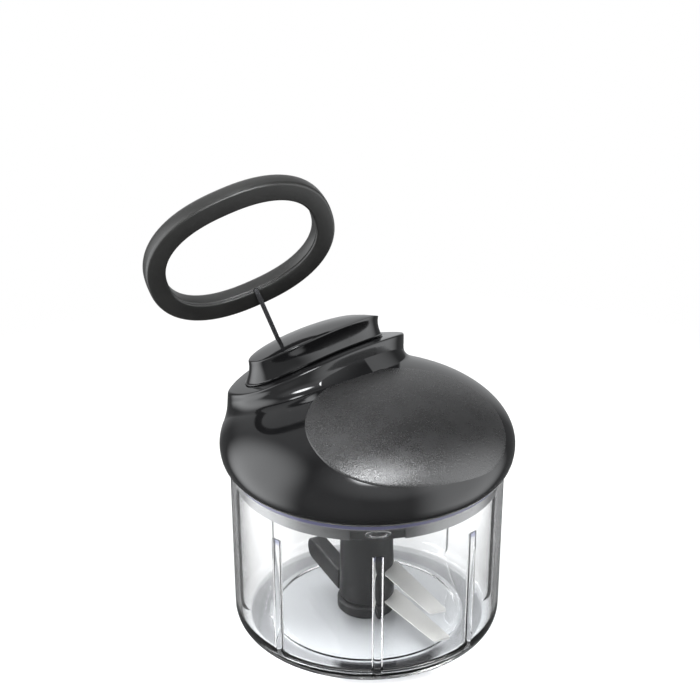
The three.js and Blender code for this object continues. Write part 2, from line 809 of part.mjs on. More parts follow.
function bushGeometry() {
  const inner = spindleRadius + runGap;
  const low = basePlateBottom - fitGap - bushFlange / 2;
  return turned(
    [
      [inner, low],
      [bushOuter + bushFlange, low],
      [bushOuter + bushFlange, basePlateBottom - fitGap],
      [bushOuter, basePlateBottom - fitGap],
      [bushOuter, basePlateTop],
      [inner, basePlateTop],
      [inner, low],
    ],
  );
}

// Blade set
const socketRadius = hexRadius + runGap;
const pivotBore = bushRadius + fitGap;

// The blades and the wing run beside the axis, not through it
function bladeOutline(grow) {
  const [rootLow, rootHigh] = bladeRootEdges;
  const [tipLow, tipHigh] = bladeTipEdges;
  return [
    [bladeRootReach - grow, rootLow - grow],
    [bladeReach - bladeTipRake, tipLow - grow],
    [bladeReach, tipHigh + grow],
    [bladeRootReach - grow, rootHigh + grow],
  ];
}

function bladeGeometry(height, turn) {
  return plate(bladeOutline(0), height, height + bladeThickness).rotateZ(turn);
}

function bladeSlotSolid(height, turn) {
  const top = height + bladeThickness;
  return solid(plate(bladeOutline(fitGap), height - fitGap, top + fitGap).rotateZ(turn));
}

function wingSlab(grow) {
  const slab = plate(wingOutline(grow), wingSide - grow, wingSide + wingThickness + grow);
  return slab.rotateX(-Math.PI / 2).rotateZ(wingTurn);
}

function columnGeometry() {
  const body = turned([
    [pivotBore, columnBottom + fitGap],
    [columnRadius, columnBottom + fitGap],
    [columnTopRadius, columnTop],
    [socketRadius, columnTop],
    [socketRadius, hexBottom - overrun],
    [pivotBore, hexBottom - overrun],
    [pivotBore, columnBottom + fitGap],
  ], wheelSegments);
  const lowSlot = bladeSlotSolid(bladeLowHeight, bladeLowTurn);
  const highSlot = bladeSlotSolid(bladeHighHeight, bladeHighTurn);
  return geometryOf(cut(solid(body), lowSlot, highSlot, solid(wingSlab(fitGap))));
}

function collarGeometry() {
  const inner = pivotBore;
  const chamfer = bladeThickness;
  return turned([
    [inner, collarBottom + bowlBossHeight],
    [bowlBossRadius + runGap, collarBottom + bowlBossHeight],
    [bowlBossRadius + runGap, collarBottom],
    [collarRadius - chamfer, collarBottom],
    [collarRadius, collarBottom + chamfer],
    [collarRadius, columnBottom - chamfer],
    [columnRadius, columnBottom],
    [inner, columnBottom],
    [inner, collarBottom + bowlBossHeight],
  ], wheelSegments);
}

// Side view of the wing, with its height counted downwards because the slab is turned over
function wingOutline(grow) {
  const root = bladeRootReach - grow;
  const reach = wingReach - wingRound;
  const outline = [[root, -wingBottom + grow]];
  const steps = 4;
  [[wingBottom + wingRound, 0], [wingTop - wingRound, 1]].forEach(([height, half]) => {
    for (let i = 0; i <= steps; i++) {
      const angle = (Math.PI / 2) * (half + i / steps - 1);
      outline.push([reach + wingRound * Math.cos(angle), -height - wingRound * Math.sin(angle)]);
    }
  });
  outline.push([root, -wingTop - grow]);
  return outline.reverse();
}

function pivotBushGeometry() {
  const bore = pinRadius + fitGap;
  return tube(bore, bushRadius, bowlFloorTop + bowlBossHeight + fitGap, pinTop + fitGap);
}

// Ring handle, in its own frame: x along its length, y from the knot side to the far side, z up as nested
function ringGeometry() {
  const half = ringBar / 2;
  const thick = ringThickness / 2;
  const sectionShares = [
    [-0.9, -1],
    [0.45, -1],
    [0.85, -0.72],
    [1, -0.2],
    [0.92, 0.4],
    [0.55, 0.9],
    [0, 1],
    [-0.6, 0.95],
    [-0.95, 0.55],
    [-1, -0.6],
  ];
  const length = ringHalfLength - half;
  const width = ringHalfWidth - half;
  const place = (angle) => {
    const c = Math.cos(angle);
    const s = Math.sin(angle);
    return [
      length * Math.sign(c) * Math.abs(c) ** (2 / ringSquareness),
      width * Math.sign(s) * Math.abs(s) ** (2 / ringSquareness),
    ];
  };
  const positions = [];
  for (let i = 0; i < ringStations; i++) {
    const angle = (2 * Math.PI * (i + 0.5)) / ringStations;
    const step = Math.PI / ringStations;
    const [x, y] = place(angle);
    const before = place(angle - step);
    const after = place(angle + step);
    const along = new THREE.Vector2(after[0] - before[0], after[1] - before[1]).normalize();
    sectionShares.forEach(([out, up]) => {
      positions.push(x + along.y * half * out, y - along.x * half * out, up * thick);
    });
  }
  const sides = sectionShares.length;
  const index = [];
  for (let i = 0; i < ringStations; i++) {
    const next = ((i + 1) % ringStations) * sides;
    for (let j = 0; j < sides; j++) {
      const k = (j + 1) % sides;
      const here = i * sides;
      index.push(here + j, next + j, next + k, here + j, next + k, here + k);
    }
  }
  const geometry = new THREE.BufferGeometry();
  geometry.setAttribute("position", new THREE.Float32BufferAttribute(positions, 3));
  geometry.setIndex(index);
  geometry.translate(0, ringHalfWidth - bendInset, thick + cordRadius + runGap);
  const well = rod(knotRadius + fitGap, 0, ringThickness, screwSegments).translate(...knotPoint);
  return geometryOf(cut(solid(geometry), knotSolid(fitGap), solid(well)));
}

// The knot sits in a pocket open at the top, and a slanted hole leads from it to the ring's inner edge,
// where the cord bends. The origin is the end of the taut stretch.
const bendPoint = [0, bendPast, bendRise];
const knotPoint = [0, -knotBack, knotRise];

function knotSolid(grow) {
  const radius = cordRadius + grow;
  const ball = (size, at) => {
    const round = new THREE.SphereGeometry(size, screwSegments, screwSegments);
    return solid(round.translate(...at));
  };
  const stick = (from, to) => {
    const start = new THREE.Vector3(...from);
    const run = new THREE.Vector3(...to).sub(start);
    const bar = rod(radius, 0, run.length(), cordSides);
    const lean = new THREE.Quaternion().setFromUnitVectors(new THREE.Vector3(0, 0, 1), run.normalize());
    return solid(bar.applyQuaternion(lean).translate(...from));
  };
  const start = [0, fitGap - grow, 0];
  const sticks = [stick(start, bendPoint), stick(bendPoint, knotPoint)];
  return joined(ball(knotRadius + grow, knotPoint), ball(radius, bendPoint), ...sticks);
}

// The ring's frame in space
function ringFrame() {
  const far = new THREE.Vector3(...ringFar).normalize();
  const up = new THREE.Vector3().crossVectors(new THREE.Vector3(...ringLong), far).normalize();
  const long = new THREE.Vector3().crossVectors(far, up);
  return new THREE.Matrix4().makeBasis(long, far, up);
}

function cordAlong(route, steps) {
  const corner = (angle) => new THREE.Vector2(cordRadius * Math.cos(angle), cordRadius * Math.sin(angle));
  const section = new THREE.Shape(around(cordSides, 0, corner));
  return new THREE.ExtrudeGeometry(section, { steps, extrudePath: route, bevelEnabled: false });
}

// The free stretch, from the eyelet to the bend
function freeCordGeometry() {
  const start = new THREE.Vector3(0, 0, cordRadius);
  const end = new THREE.Vector3(0, 0, cordFree - fitGap);
  const stretch = cordAlong(new THREE.LineCurve3(start, end), Math.round(cordFree / cordStep));
  return fromMouth(stretch, cordAxis);
}

// The stretch inside the lid, from the reel to the eyelet
function cordRunGeometry() {
  const inEyelet = cordMouth.clone().addScaledVector(eyeletAxis, -eyeletLength - fitGap);
  const down = cordMouth.clone().addScaledVector(eyeletAxis, -eyeletLength - innerRunLead);
  const reelMiddle = (reelBottom + reelTop) / 2;
  const leave = new THREE.Vector3(-coilRadius - cordRadius - fitGap, 0, reelMiddle);
  const bend = new THREE.Vector3(leave.x, coilRadius, reelMiddle);
  const route = new THREE.CatmullRomCurve3([leave, bend, down, inEyelet], false, "centripetal");
  return cordAlong(route, innerRunSteps);
}

// Assembly
const group = new THREE.Group();

const base = new THREE.Group();
base.add(named("bowl", bowlGeometry(), clear));
base.add(named("pivot_pin", rod(pinRadius, pinSeat + fitGap, pinTop), steel));

const lid = new THREE.Group();
lid.add(named("lid_housing", housingGeometry(), gloss));
lid.add(named("hand_pad", padGeometry(), soft));
lid.add(named("handle_dock_cap", capGeometry(), gloss));
lid.add(named("lid_base", baseGeometry(), black));
lid.add(named("lid_seal", sealGeometry(), rubber));
coverScrewPlaces.forEach(([x, y], i) => {
  const low = basePlateBottom - fitGap - screwHeadHeight;
  lid.add(named(`base_screw_${i + 1}`, screwGeometry(low, screwLength).translate(x, y, 0), steel));
});
capScrewPlaces.forEach(([x, y], i) => {
  const screw = screwGeometry(capScrewSeat([x, y]), screwLength).translate(x, y, 0).rotateZ(shoulderTurn);
  lid.add(named(`cap_screw_${i + 1}`, screw, steel));
});
lid.add(named("reel_axle", rod(axleRadius, basePlateBottom + fitGap, axleTop), steel));
lid.add(named("spring_cover", springCoverGeometry(), black));
lid.add(named("recoil_spring", springGeometry(), steel));
lid.add(named("spindle_bush", bushGeometry(), white));
const eyeletProfile = [
  [cordRadius + fitGap, -eyeletLength],
  [eyeletRadius, -eyeletLength],
  [eyeletRadius, -eyeletFlange],
  [eyeletFlangeRadius, -eyeletFlange],
  [eyeletFlangeRadius, 0],
  [cordRadius + fitGap, 0],
  [cordRadius + fitGap, -eyeletLength],
];
lid.add(named("cord_eyelet", fromMouth(turned(eyeletProfile, smallSegments), eyeletAxis), black));
lid.add(named("cord_inner_run", cordRunGeometry(), braid));

const reel = new THREE.Group();
reel.add(named("cord_reel", reelGeometry(), white));
const coilLow = reelBottom + reelFlange + fitGap;
const coilHigh = reelTop - reelFlange - fitGap;
const coil = tube(reelCoreRadius + fitGap, coilRadius, coilLow, coilHigh, wheelSegments);
reel.add(named("cord_coil", coil, braid));

const drive = new THREE.Group();
drive.add(named("drive_spindle", spindleGeometry(), black));
around(pawlCount, 0, (angle, i) => drive.add(named(`clutch_pawl_${i + 1}`, pawlGeometry(angle), steel)));

const blades = new THREE.Group();
blades.add(named("blade_column", columnGeometry(), black));
blades.add(named("column_collar", collarGeometry(), black));
blades.add(named("lower_blade", bladeGeometry(bladeLowHeight, bladeLowTurn), steel));
blades.add(named("upper_blade", bladeGeometry(bladeHighHeight, bladeHighTurn), steel));
blades.add(named("stirring_wing", wingSlab(0), black));
blades.add(named("pivot_bush", pivotBushGeometry(), white));

const handle = new THREE.Group();
handle.add(named("pull_cord", freeCordGeometry(), braid));
const cordEnd = cordMouth.clone().addScaledVector(cordAxis, cordFree);
const held = [named("cord_knot", geometryOf(knotSolid(0)), braid), named("pull_ring", ringGeometry(), soft)];
held.forEach((piece) => piece.applyMatrix4(ringFrame().setPosition(cordEnd)));
handle.add(...held);

group.add(base, lid, reel, drive, blades, handle);

export default group;
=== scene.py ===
import bpy
import json
import math
import numpy as np
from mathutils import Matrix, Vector


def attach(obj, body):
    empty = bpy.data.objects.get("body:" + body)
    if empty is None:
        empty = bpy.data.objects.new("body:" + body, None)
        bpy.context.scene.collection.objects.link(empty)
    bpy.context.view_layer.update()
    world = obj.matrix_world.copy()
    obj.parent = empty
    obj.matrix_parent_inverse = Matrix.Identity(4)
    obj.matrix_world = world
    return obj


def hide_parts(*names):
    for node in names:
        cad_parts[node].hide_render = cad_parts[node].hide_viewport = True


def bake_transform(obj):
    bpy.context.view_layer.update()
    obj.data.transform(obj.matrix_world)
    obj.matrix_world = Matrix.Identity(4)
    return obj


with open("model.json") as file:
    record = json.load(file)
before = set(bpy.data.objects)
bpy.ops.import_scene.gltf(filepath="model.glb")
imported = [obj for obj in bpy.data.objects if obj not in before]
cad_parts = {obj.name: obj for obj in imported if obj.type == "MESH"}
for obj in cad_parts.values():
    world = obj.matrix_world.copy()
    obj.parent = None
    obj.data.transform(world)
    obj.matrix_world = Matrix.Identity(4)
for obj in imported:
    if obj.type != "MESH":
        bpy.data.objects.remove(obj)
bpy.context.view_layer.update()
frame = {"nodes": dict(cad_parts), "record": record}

MM = 0.001
TAU = 2 * math.pi
WHITE = (1, 1, 1, 1)

# Sizes in millimetres and angles in radians, as in the CAD
FRONT = 0.08 - math.pi / 2
RIB_COUNT = 8
RIB_ANGLES = [FRONT + TAU * i / RIB_COUNT for i in range(RIB_COUNT)]
PIP_ANGLES = [FRONT, FRONT + math.pi]
DOME_RADIUS = 75.0
DOME_WIDEST = 104.0
DOME_HEIGHT = 34.0
SHOULDER_TURN = 0.64
LEDGE_MIDDLE = (-2.0, 42.0)
LEDGE_HALF = (49.0, 31.5)
LEDGE_SQUARENESS = 2.4
LEDGE_TOP = 137.4
LEDGE_RISE = 4
LEDGE_FALL = 12.4
LEDGE_CROWN = 6
MOUTH = np.array([-43.74, 51.21, 127.26])
CORD_AXIS = np.array([-0.30052, -0.24051, 0.92295])
CORD_FREE = 41.8
CORD_RADIUS = 1.2
CORD_END = MOUTH + CORD_FREE * CORD_AXIS


def unit(vector):
    vector = np.asarray(vector, float)
    return vector / np.linalg.norm(vector)


RING_FAR = unit([-0.245, -0.293, 0.924])
RING_UP = unit(np.cross([-0.904, -0.274, -0.327], RING_FAR))
RING_LONG = np.cross(RING_FAR, RING_UP)


def on_ring(x, y, z):
    """A place in the ring's own frame, whose origin is the end of the taut cord."""
    return CORD_END + RING_LONG * x + RING_FAR * y + RING_UP * z


# Camera, fitted to the photo, in metres and degrees
CAMERA_PLACE = (0, -0.9, 0.5886)
CAMERA_DOWN = 25.76
CAMERA_TURN = 0.56
CAMERA_LENS = 103.44
CAMERA_SENSOR = 36
camera = bpy.data.objects.new("photo_camera", bpy.data.cameras.new("photo_camera"))
bpy.context.scene.collection.objects.link(camera)
camera.data.sensor_width = CAMERA_SENSOR
camera.data.lens = CAMERA_LENS
camera.location = CAMERA_PLACE
camera.rotation_euler = (math.radians(90 - CAMERA_DOWN), 0, math.radians(CAMERA_TURN))
bpy.context.scene.camera = camera
bpy.context.scene.view_settings.view_transform = "Standard"


# Materials
class Graph:
    """A node tree, filled by short calls."""

    def __init__(self, tree):
        self.tree = tree

    def node(self, kind, inputs=None, **settings):
        node = self.tree.nodes.new("ShaderNode" + kind)
        for key, value in settings.items():
            setattr(node, key, value)
        for key, value in (inputs or {}).items():
            self.feed(node.inputs[key], value)
        return node

    def feed(self, socket, value):
        if isinstance(value, bpy.types.NodeSocket):
            self.tree.links.new(value, socket)
        else:
            socket.default_value = value

    def place(self):
        return self.node("TexCoord").outputs["Object"]

    def places(self):
        """The object's own X, Y and Z in metres, and the distance from its axis."""
        where = self.node("SeparateXYZ", {"Vector": self.place()})
        x, y, z = (where.outputs[axis] for axis in "XYZ")
        flat = self.node("CombineXYZ", {"X": x, "Y": y}).outputs["Vector"]
        return x, y, z, self.node("VectorMath", {0: flat}, operation="LENGTH").outputs["Value"]

    def grey(self, level):
        return self.node("CombineColor", {"Red": level, "Green": level, "Blue": level}).outputs["Color"]

    def noise(self, scale, detail, rough, vector=None, stretch=None):
        vector = vector or self.place()
        if stretch:
            vector = self.node("Mapping", {"Vector": vector, "Scale": stretch}).outputs["Vector"]
        inputs = {"Vector": vector, "Scale": scale, "Detail": detail, "Roughness": rough}
        return self.node("TexNoise", inputs).outputs["Fac"]

    def span(self, value, low, high, start, end):
        inputs = {"Value": value, "From Min": start, "From Max": end, "To Min": low, "To Max": high}
        return self.node("MapRange", inputs).outputs["Result"]

    def colour(self, value, first, second, start, end):
        ramp = self.node("ValToRGB", {"Fac": value})
        for element, place, shade in zip(ramp.color_ramp.elements, (start, end), (first, second)):
            element.position, element.color = place, (*shade, 1)
        return ramp.outputs["Color"]

    def math(self, operation, first, second=0.0, third=0.0):
        node = self.node("Math", operation=operation)
        for socket, value in zip(node.inputs, (first, second, third)):
            self.feed(socket, value)
        return node.outputs["Value"]

    def bump(self, height, strength, distance, normal=None):
        inputs = {"Height": height, "Strength": strength, "Distance": distance}
        if normal:
            inputs["Normal"] = normal
        return self.node("Bump", inputs).outputs["Normal"]


def material(name):
    made = bpy.data.materials.new(name)
    made.use_nodes = True
    made.node_tree.nodes.clear()
    return made, Graph(made.node_tree)


def finish_material(graph, shader):
    graph.feed(graph.node("OutputMaterial").inputs["Surface"], shader)


def principled(graph, inputs):
    return graph.node("BsdfPrincipled", inputs).outputs["BSDF"]


def moulded(name, dark, light, rough, grain, grain_scale, spots, shine=0.5):
    """Moulded plastic or rubber. dark and light are the ends of its colour, rough those of its roughness,
    grain the strength of its bump, spots the share of fine spots in the colour, shine its specular level."""
    made, g = material(name)
    cloud = g.noise(60, 4, 0.6)
    fine = g.noise(grain_scale, 3, 0.6)
    mixed = g.math("MULTIPLY_ADD", fine, spots, g.math("MULTIPLY", cloud, 1 - spots))
    even = g.math("MULTIPLY_ADD", fine, 0.5, g.math("MULTIPLY", cloud, 0.5))
    inputs = {
        "Base Color": g.colour(mixed, dark, light, 0.3, 0.7),
        "Roughness": g.span(even, *rough, 0.3, 0.7),
        "Normal": g.bump(fine, grain, 0.00025),
        "Specular IOR Level": shine,
    }
    finish_material(g, principled(g, inputs))
    return made


def skirt_sheen_material():
    """Black plastic whose outer skirt face carries a painted sheen, a paler grey that stands in for light
    from the sides. The painted sheen fades out as painted shade towards the two recesses, at the front and
    back, which stay black."""
    sheen_radius, sheen_top = (0.0659, 0.0665), (0.092, 0.0935)
    recess_middle, sheen_fade = 0.003, (0.012, 0.034)
    made, g = material("skirt_plastic_painted_sheen")
    x, _, height, radius = g.places()
    # Painted sheen: the outer face below the rim is marked out to be painted paler
    face = g.math("MULTIPLY", g.span(radius, 0, 1, *sheen_radius), g.span(height, 1, 0, *sheen_top))
    # Painted shade: the sheen fades out near the middle in x, towards the front and back recesses
    aside = g.math("ABSOLUTE", g.math("SUBTRACT", x, recess_middle))
    face = g.math("MULTIPLY", face, g.span(aside, 0.3, 1, *sheen_fade))
    cloud = g.noise(60, 4, 0.6)
    fine = g.noise(900, 3, 0.6)
    # Painted sheen: 0.2 to 0.25 of grey added to the black on the outer face
    pale = g.math("MULTIPLY", face, g.span(cloud, 0.2, 0.25, 0.3, 0.7))
    level = g.math("ADD", g.span(fine, 0.006, 0.011, 0.3, 0.7), pale)
    inputs = {
        "Base Color": g.grey(level),
        "Roughness": g.span(fine, 0.34, 0.5, 0.3, 0.7),
        "Normal": g.bump(fine, 0.2, 0.00025),
    }
    finish_material(g, principled(g, inputs))
    return made


def gloss_material():
    made, g = material("gloss_black_plastic")
    smudge = g.noise(38, 4, 0.65)
    dust = g.noise(2600, 1, 0.5)
    wave = g.noise(22, 1, 0.4)
    scratches = g.noise(300, 3, 0.7, stretch=(1, 0.06, 0.2))
    scratched = g.span(scratches, 0.0, 0.05, 0.62, 0.75)
    roughness = g.math("ADD", g.span(smudge, 0.045, 0.13, 0.35, 0.7), scratched)
    normal = g.bump(wave, 0.18, 0.0012)
    normal = g.bump(dust, 0.05, 0.0001, normal)
    inputs = {
        "Base Color": g.colour(smudge, (0.0045, 0.0045, 0.005), (0.009, 0.009, 0.0095), 0.3, 0.75),
        "Roughness": roughness,
        "Normal": normal,
        "IOR": 1.52,
    }
    finish_material(g, principled(g, inputs))
    return made


def steel_material():
    made, g = material("ground_steel")
    turned = g.node("Mapping", {"Vector": g.place(), "Rotation": (0, 0, 1.05)}).outputs["Vector"]
    brushed = g.noise(2200, 2, 0.5, turned, (1, 0.03, 1))
    cloud = g.noise(70, 3, 0.6)
    inputs = {
        "Base Color": g.colour(cloud, (0.84, 0.83, 0.8), (0.92, 0.91, 0.88), 0.3, 0.7),
        "Metallic": 0.5,
        "Roughness": g.span(brushed, 0.34, 0.5, 0.3, 0.7),
        "Normal": g.bump(brushed, 0.05, 0.00005),
    }
    finish_material(g, principled(g, inputs))
    return made


def clear_material():
    """Clear plastic with faint flow marks and a few fine scratches. Its colour darkens at grazing angles,
    painted shade for the dark edges. The floor and the ring round it are greyer, painted shade seen through
    the thick base, and one stretch at the front is dark, painted shade. The ribs' tops and the rim are
    violet. Places in metres."""
    floor_shade_top, floor_shade_end, floor_shade_ring = (0.007, 0.009), (0.0505, 0.0515), (0.0512, 0.0605)
    shade_patch_ring, shade_patch_top = (0.0525, 0.0655), (0.009, 0.012)
    shade_patch_across, shade_patch_depth = (-0.012, 0.032), (-0.04, -0.03)
    rib_radius, rib_top = (0.0663, 0.0669), (0.0738, 0.078)
    rim_height, pip_radius, pip_height = (0.0919, 0.0925), (0.0669, 0.0672), (0.0855, 0.086)
    made, g = material("clear_plastic")
    flow = g.noise(26, 2, 0.5, stretch=(1, 1, 0.3))
    scratch = g.noise(420, 3, 0.7, stretch=(1, 1, 0.05))
    x, y, height, radius = g.places()
    facing = g.node("LayerWeight", {"Blend": 0.5}).outputs["Facing"]

    def tinted(share, first, second):
        mix = g.node("Mix", data_type="RGBA")
        g.feed(mix.inputs["Factor"], share)
        g.feed(mix.inputs[6], first)
        g.feed(mix.inputs[7], (*second, 1))
        return mix.outputs[2]

    def band(value, low, high, soft):
        up = g.span(value, 0, 1, low - soft, low)
        down = g.span(value, 1, 0, high, high + soft)
        return g.math("MULTIPLY", up, down)

    def both(first, second):
        return g.math("MULTIPLY", first, second)

    # Painted shade: the colour turns dark grey at grazing angles, for the dark edges of the clear plastic
    tint = g.colour(facing, (0.94, 0.944, 0.947), (0.36, 0.37, 0.39), 0.7, 1.0)
    # Painted shade: the floor and the ring round it are painted grey, for shade seen through the thick base
    low = g.span(height, 1, 0, *floor_shade_top)
    tint = tinted(both(g.span(radius, 1, 0, *floor_shade_end), low), tint, (0.79, 0.795, 0.8))
    tint = tinted(both(band(radius, *floor_shade_ring, 0.0012), low), tint, (0.5, 0.5, 0.505))
    # Painted shade: a near-black stretch at the front of the foot
    near = both(band(x, *shade_patch_across, 0.006), g.span(y, 1, 0, *shade_patch_depth))
    shade_patch = both(band(radius, *shade_patch_ring, 0.0012), g.span(height, 1, 0, *shade_patch_top))
    tint = tinted(both(shade_patch, near), tint, (0.04, 0.04, 0.043))
    ribs = both(g.span(radius, 1, 0, *rib_radius), band(height, *rib_top, 0.002))
    tint = tinted(both(ribs, 0.95), tint, (0.12, 0.13, 0.36))
    rim = g.span(height, 0, 1, *rim_height)
    tint = tinted(both(rim, 0.9), tint, (0.09, 0.09, 0.24))
    pip = both(g.span(radius, 1, 0, *pip_radius), g.span(height, 0, 1, *pip_height))
    rough = g.math("MAXIMUM", g.span(scratch, 0.0, 0.05, 0.55, 0.8), both(pip, 0.45))
    inputs = {
        "Base Color": tint,
        "Roughness": rough,
        "Transmission Weight": g.math("SUBTRACT", 1.0, both(rim, 0.6)),
        "IOR": 1.5,
        "Normal": g.bump(flow, 0.08, 0.0006),
    }
    glass = principled(g, inputs)
    open_to_light = g.node("BsdfTransparent", {"Color": (0.93, 0.94, 0.95, 1)}).outputs["BSDF"]
    shadow = g.node("LightPath").outputs["Is Shadow Ray"]
    mix = g.node("MixShader", {0: shadow, 1: glass, 2: open_to_light})
    finish_material(g, mix.outputs["Shader"])
    return made


def braid_material(name):
    """Braided cord. The UV map has turns round the cord in U and millimetres along it in V."""
    strands_round, pitch = 4, 2.6
    made, g = material(name)
    uv = g.node("UVMap").outputs["UV"]
    parts = g.node("SeparateXYZ", {"Vector": uv})
    around, along = parts.outputs["X"], g.math("DIVIDE", parts.outputs["Y"], pitch)
    around = g.math("MULTIPLY", around, strands_round)
    strands = []
    for sign in (1.0, -1.0):
        phase = g.math("MULTIPLY_ADD", around, sign, along)
        wave = g.math("SINE", g.math("MULTIPLY", phase, TAU))
        strands.append(g.math("ABSOLUTE", wave))
    weave = g.math("MAXIMUM", *strands)
    fuzz = g.noise(3000, 2, 0.6)
    shade = g.math("MULTIPLY_ADD", fuzz, 0.4, g.math("MULTIPLY", weave, 0.6))
    inputs = {
        "Base Color": g.colour(shade, (0.012, 0.012, 0.013), (0.05, 0.05, 0.054), 0.3, 0.9),
        "Roughness": g.span(fuzz, 0.65, 0.9, 0.3, 0.7),
        "Normal": g.bump(shade, 0.9, 0.00025),
    }
    finish_material(g, principled(g, inputs))
    return made


GLOSS = gloss_material()
PAD = moulded(
    "soft_grip", (0.008, 0.008, 0.0082), (0.022, 0.022, 0.0225), (0.22, 0.34), 0.65, 1500,
    spots=0.35, shine=0.9)
SATIN = moulded(
    "satin_black", (0.016, 0.016, 0.0155), (0.026, 0.026, 0.025), (0.28, 0.4), 0.14, 1100, spots=0.4)
BLACK = moulded(
    "black_plastic", (0.006, 0.006, 0.0064), (0.011, 0.011, 0.0116), (0.34, 0.5), 0.2, 900,
    spots=0.5, shine=0.3)
NYLON = moulded(
    "white_nylon", (0.68, 0.66, 0.61), (0.8, 0.79, 0.75), (0.45, 0.6), 0.15, 700, spots=0.3)
RUBBER = moulded(
    "seal_rubber", (0.022, 0.022, 0.023), (0.05, 0.05, 0.052), (0.7, 0.88), 0.3, 1300, spots=0.5)
STEEL = steel_material()
CLEAR = clear_material()
SKIRT = skirt_sheen_material()
BRAID = braid_material("braided_cord")
WOUND = braid_material("wound_cord")


# Mesh helpers, in millimetres
def mesh_object(name, verts, faces, look, sharp, uv=None):
    mesh = bpy.data.meshes.new(name)
    verts = np.asarray(verts, float) * MM
    mesh.from_pydata(verts.tolist(), [], [tuple(int(i) for i in face) for face in faces])
    if uv is not None:
        layer = mesh.uv_layers.new(name="UVMap")
        layer.data.foreach_set("uv", np.array(uv, float).reshape(-1))
    mesh.update()
    mesh.polygons.foreach_set("use_smooth", [True] * len(mesh.polygons))
    mesh.set_sharp_from_angle(angle=math.radians(sharp))
    made = bpy.data.objects.new(name, mesh)
    bpy.context.scene.collection.objects.link(made)
    mesh.materials.append(look)
    return made


def grid_faces(rows, columns, loop_rows=False):
    faces = []
    for i in range(rows if loop_rows else rows - 1):
        low, high = i * columns, ((i + 1) % rows) * columns
        for j in range(columns):
            k = (j + 1) % columns
            faces.append((low + j, low + k, high + k, high + j))
    return faces


def close_end(verts, faces, base, count, tip, order):
    """Closes the ring of vertices from base on to a tip. An order of 1 or -1 turns the faces."""
    verts.append(np.asarray(tip, float))
    for j in range(count):
        pair = (base + j, base + (j + 1) % count)
        faces.append((*pair[::order], len(verts) - 1))


def closed_loft(name, rings, look, sharp, first_tip, last_tip):
    """Rings of equal count from first to last, each end closed to a tip."""
    rings = [np.asarray(ring, float) for ring in rings]
    count = len(rings[0])
    verts = list(np.concatenate(rings))
    faces = grid_faces(len(rings), count)
    close_end(verts, faces, 0, count, first_tip, -1)
    close_end(verts, faces, (len(rings) - 1) * count, count, last_tip, 1)
    return mesh_object(name, verts, faces, look, sharp)


def full_turn(count):
    """Even angles round a turn."""
    return np.linspace(0, TAU, count, endpoint=False)


def off_angle(angles, angle):
    """How far angles lie from an angle, from minus to plus half a turn."""
    return (angles - angle + math.pi) % TAU - math.pi


def run_along(path):
    """The distance along a path at each of its points."""
    return np.concatenate([[0], np.cumsum(np.linalg.norm(np.diff(path, axis=0), axis=1))])


def rounded(points, default, radii=None, steps=4):
    """A profile with its corners rounded; radii gives other radii by corner number."""
    points = [np.asarray(p, float) for p in points]
    result = [points[0]]
    for i in range(1, len(points) - 1):
        before, here, after = points[i - 1], points[i], points[i + 1]
        radius = (radii or {}).get(i, default)
        reach = min(radius, 0.45 * np.linalg.norm(before - here), 0.45 * np.linalg.norm(after - here))
        if reach <= 0:
            result.append(here)
            continue
        a = here + unit(before - here) * reach
        b = here + unit(after - here) * reach
        for k in range(steps + 1):
            t = k / steps
            result.append(a * (1 - t) ** 2 + 2 * here * t * (1 - t) + b * t * t)
    result.append(points[-1])
    return result


def subdivided(points, longest):
    result = [points[0]]
    for a, b in zip(points, points[1:]):
        count = max(1, math.ceil(np.linalg.norm(np.asarray(b) - a) / longest))
        result += [np.asarray(a) + (np.asarray(b) - a) * (k / count) for k in range(1, count + 1)]
    return result


def revolve(name, profile, look, thetas=None, change=None, sharp=32):
    """Turns a profile of (radius, height) round Z. Its two ends lie on the axis, or else they meet.
    change(radius, height, angles) gives the radii where they differ round the axis."""
    thetas = full_turn(128) if thetas is None else np.asarray(thetas)
    profile = [tuple(p) for p in profile]
    on_axis = profile[0][0] < 1e-6
    rings = []
    for radius, height in profile[1 if on_axis else 0:-1]:
        radii = np.full(len(thetas), radius) if change is None else change(radius, height, thetas)
        ring = radii * np.cos(thetas), radii * np.sin(thetas), np.full(len(thetas), height)
        rings.append(np.stack(ring, 1))
    count = len(thetas)
    verts = list(np.concatenate(rings))
    faces = grid_faces(len(rings), count, loop_rows=not on_axis)
    if on_axis:
        close_end(verts, faces, 0, count, (0, 0, profile[0][1]), -1)
        close_end(verts, faces, (len(rings) - 1) * count, count, (0, 0, profile[-1][1]), 1)
    return mesh_object(name, verts, faces, look, sharp)


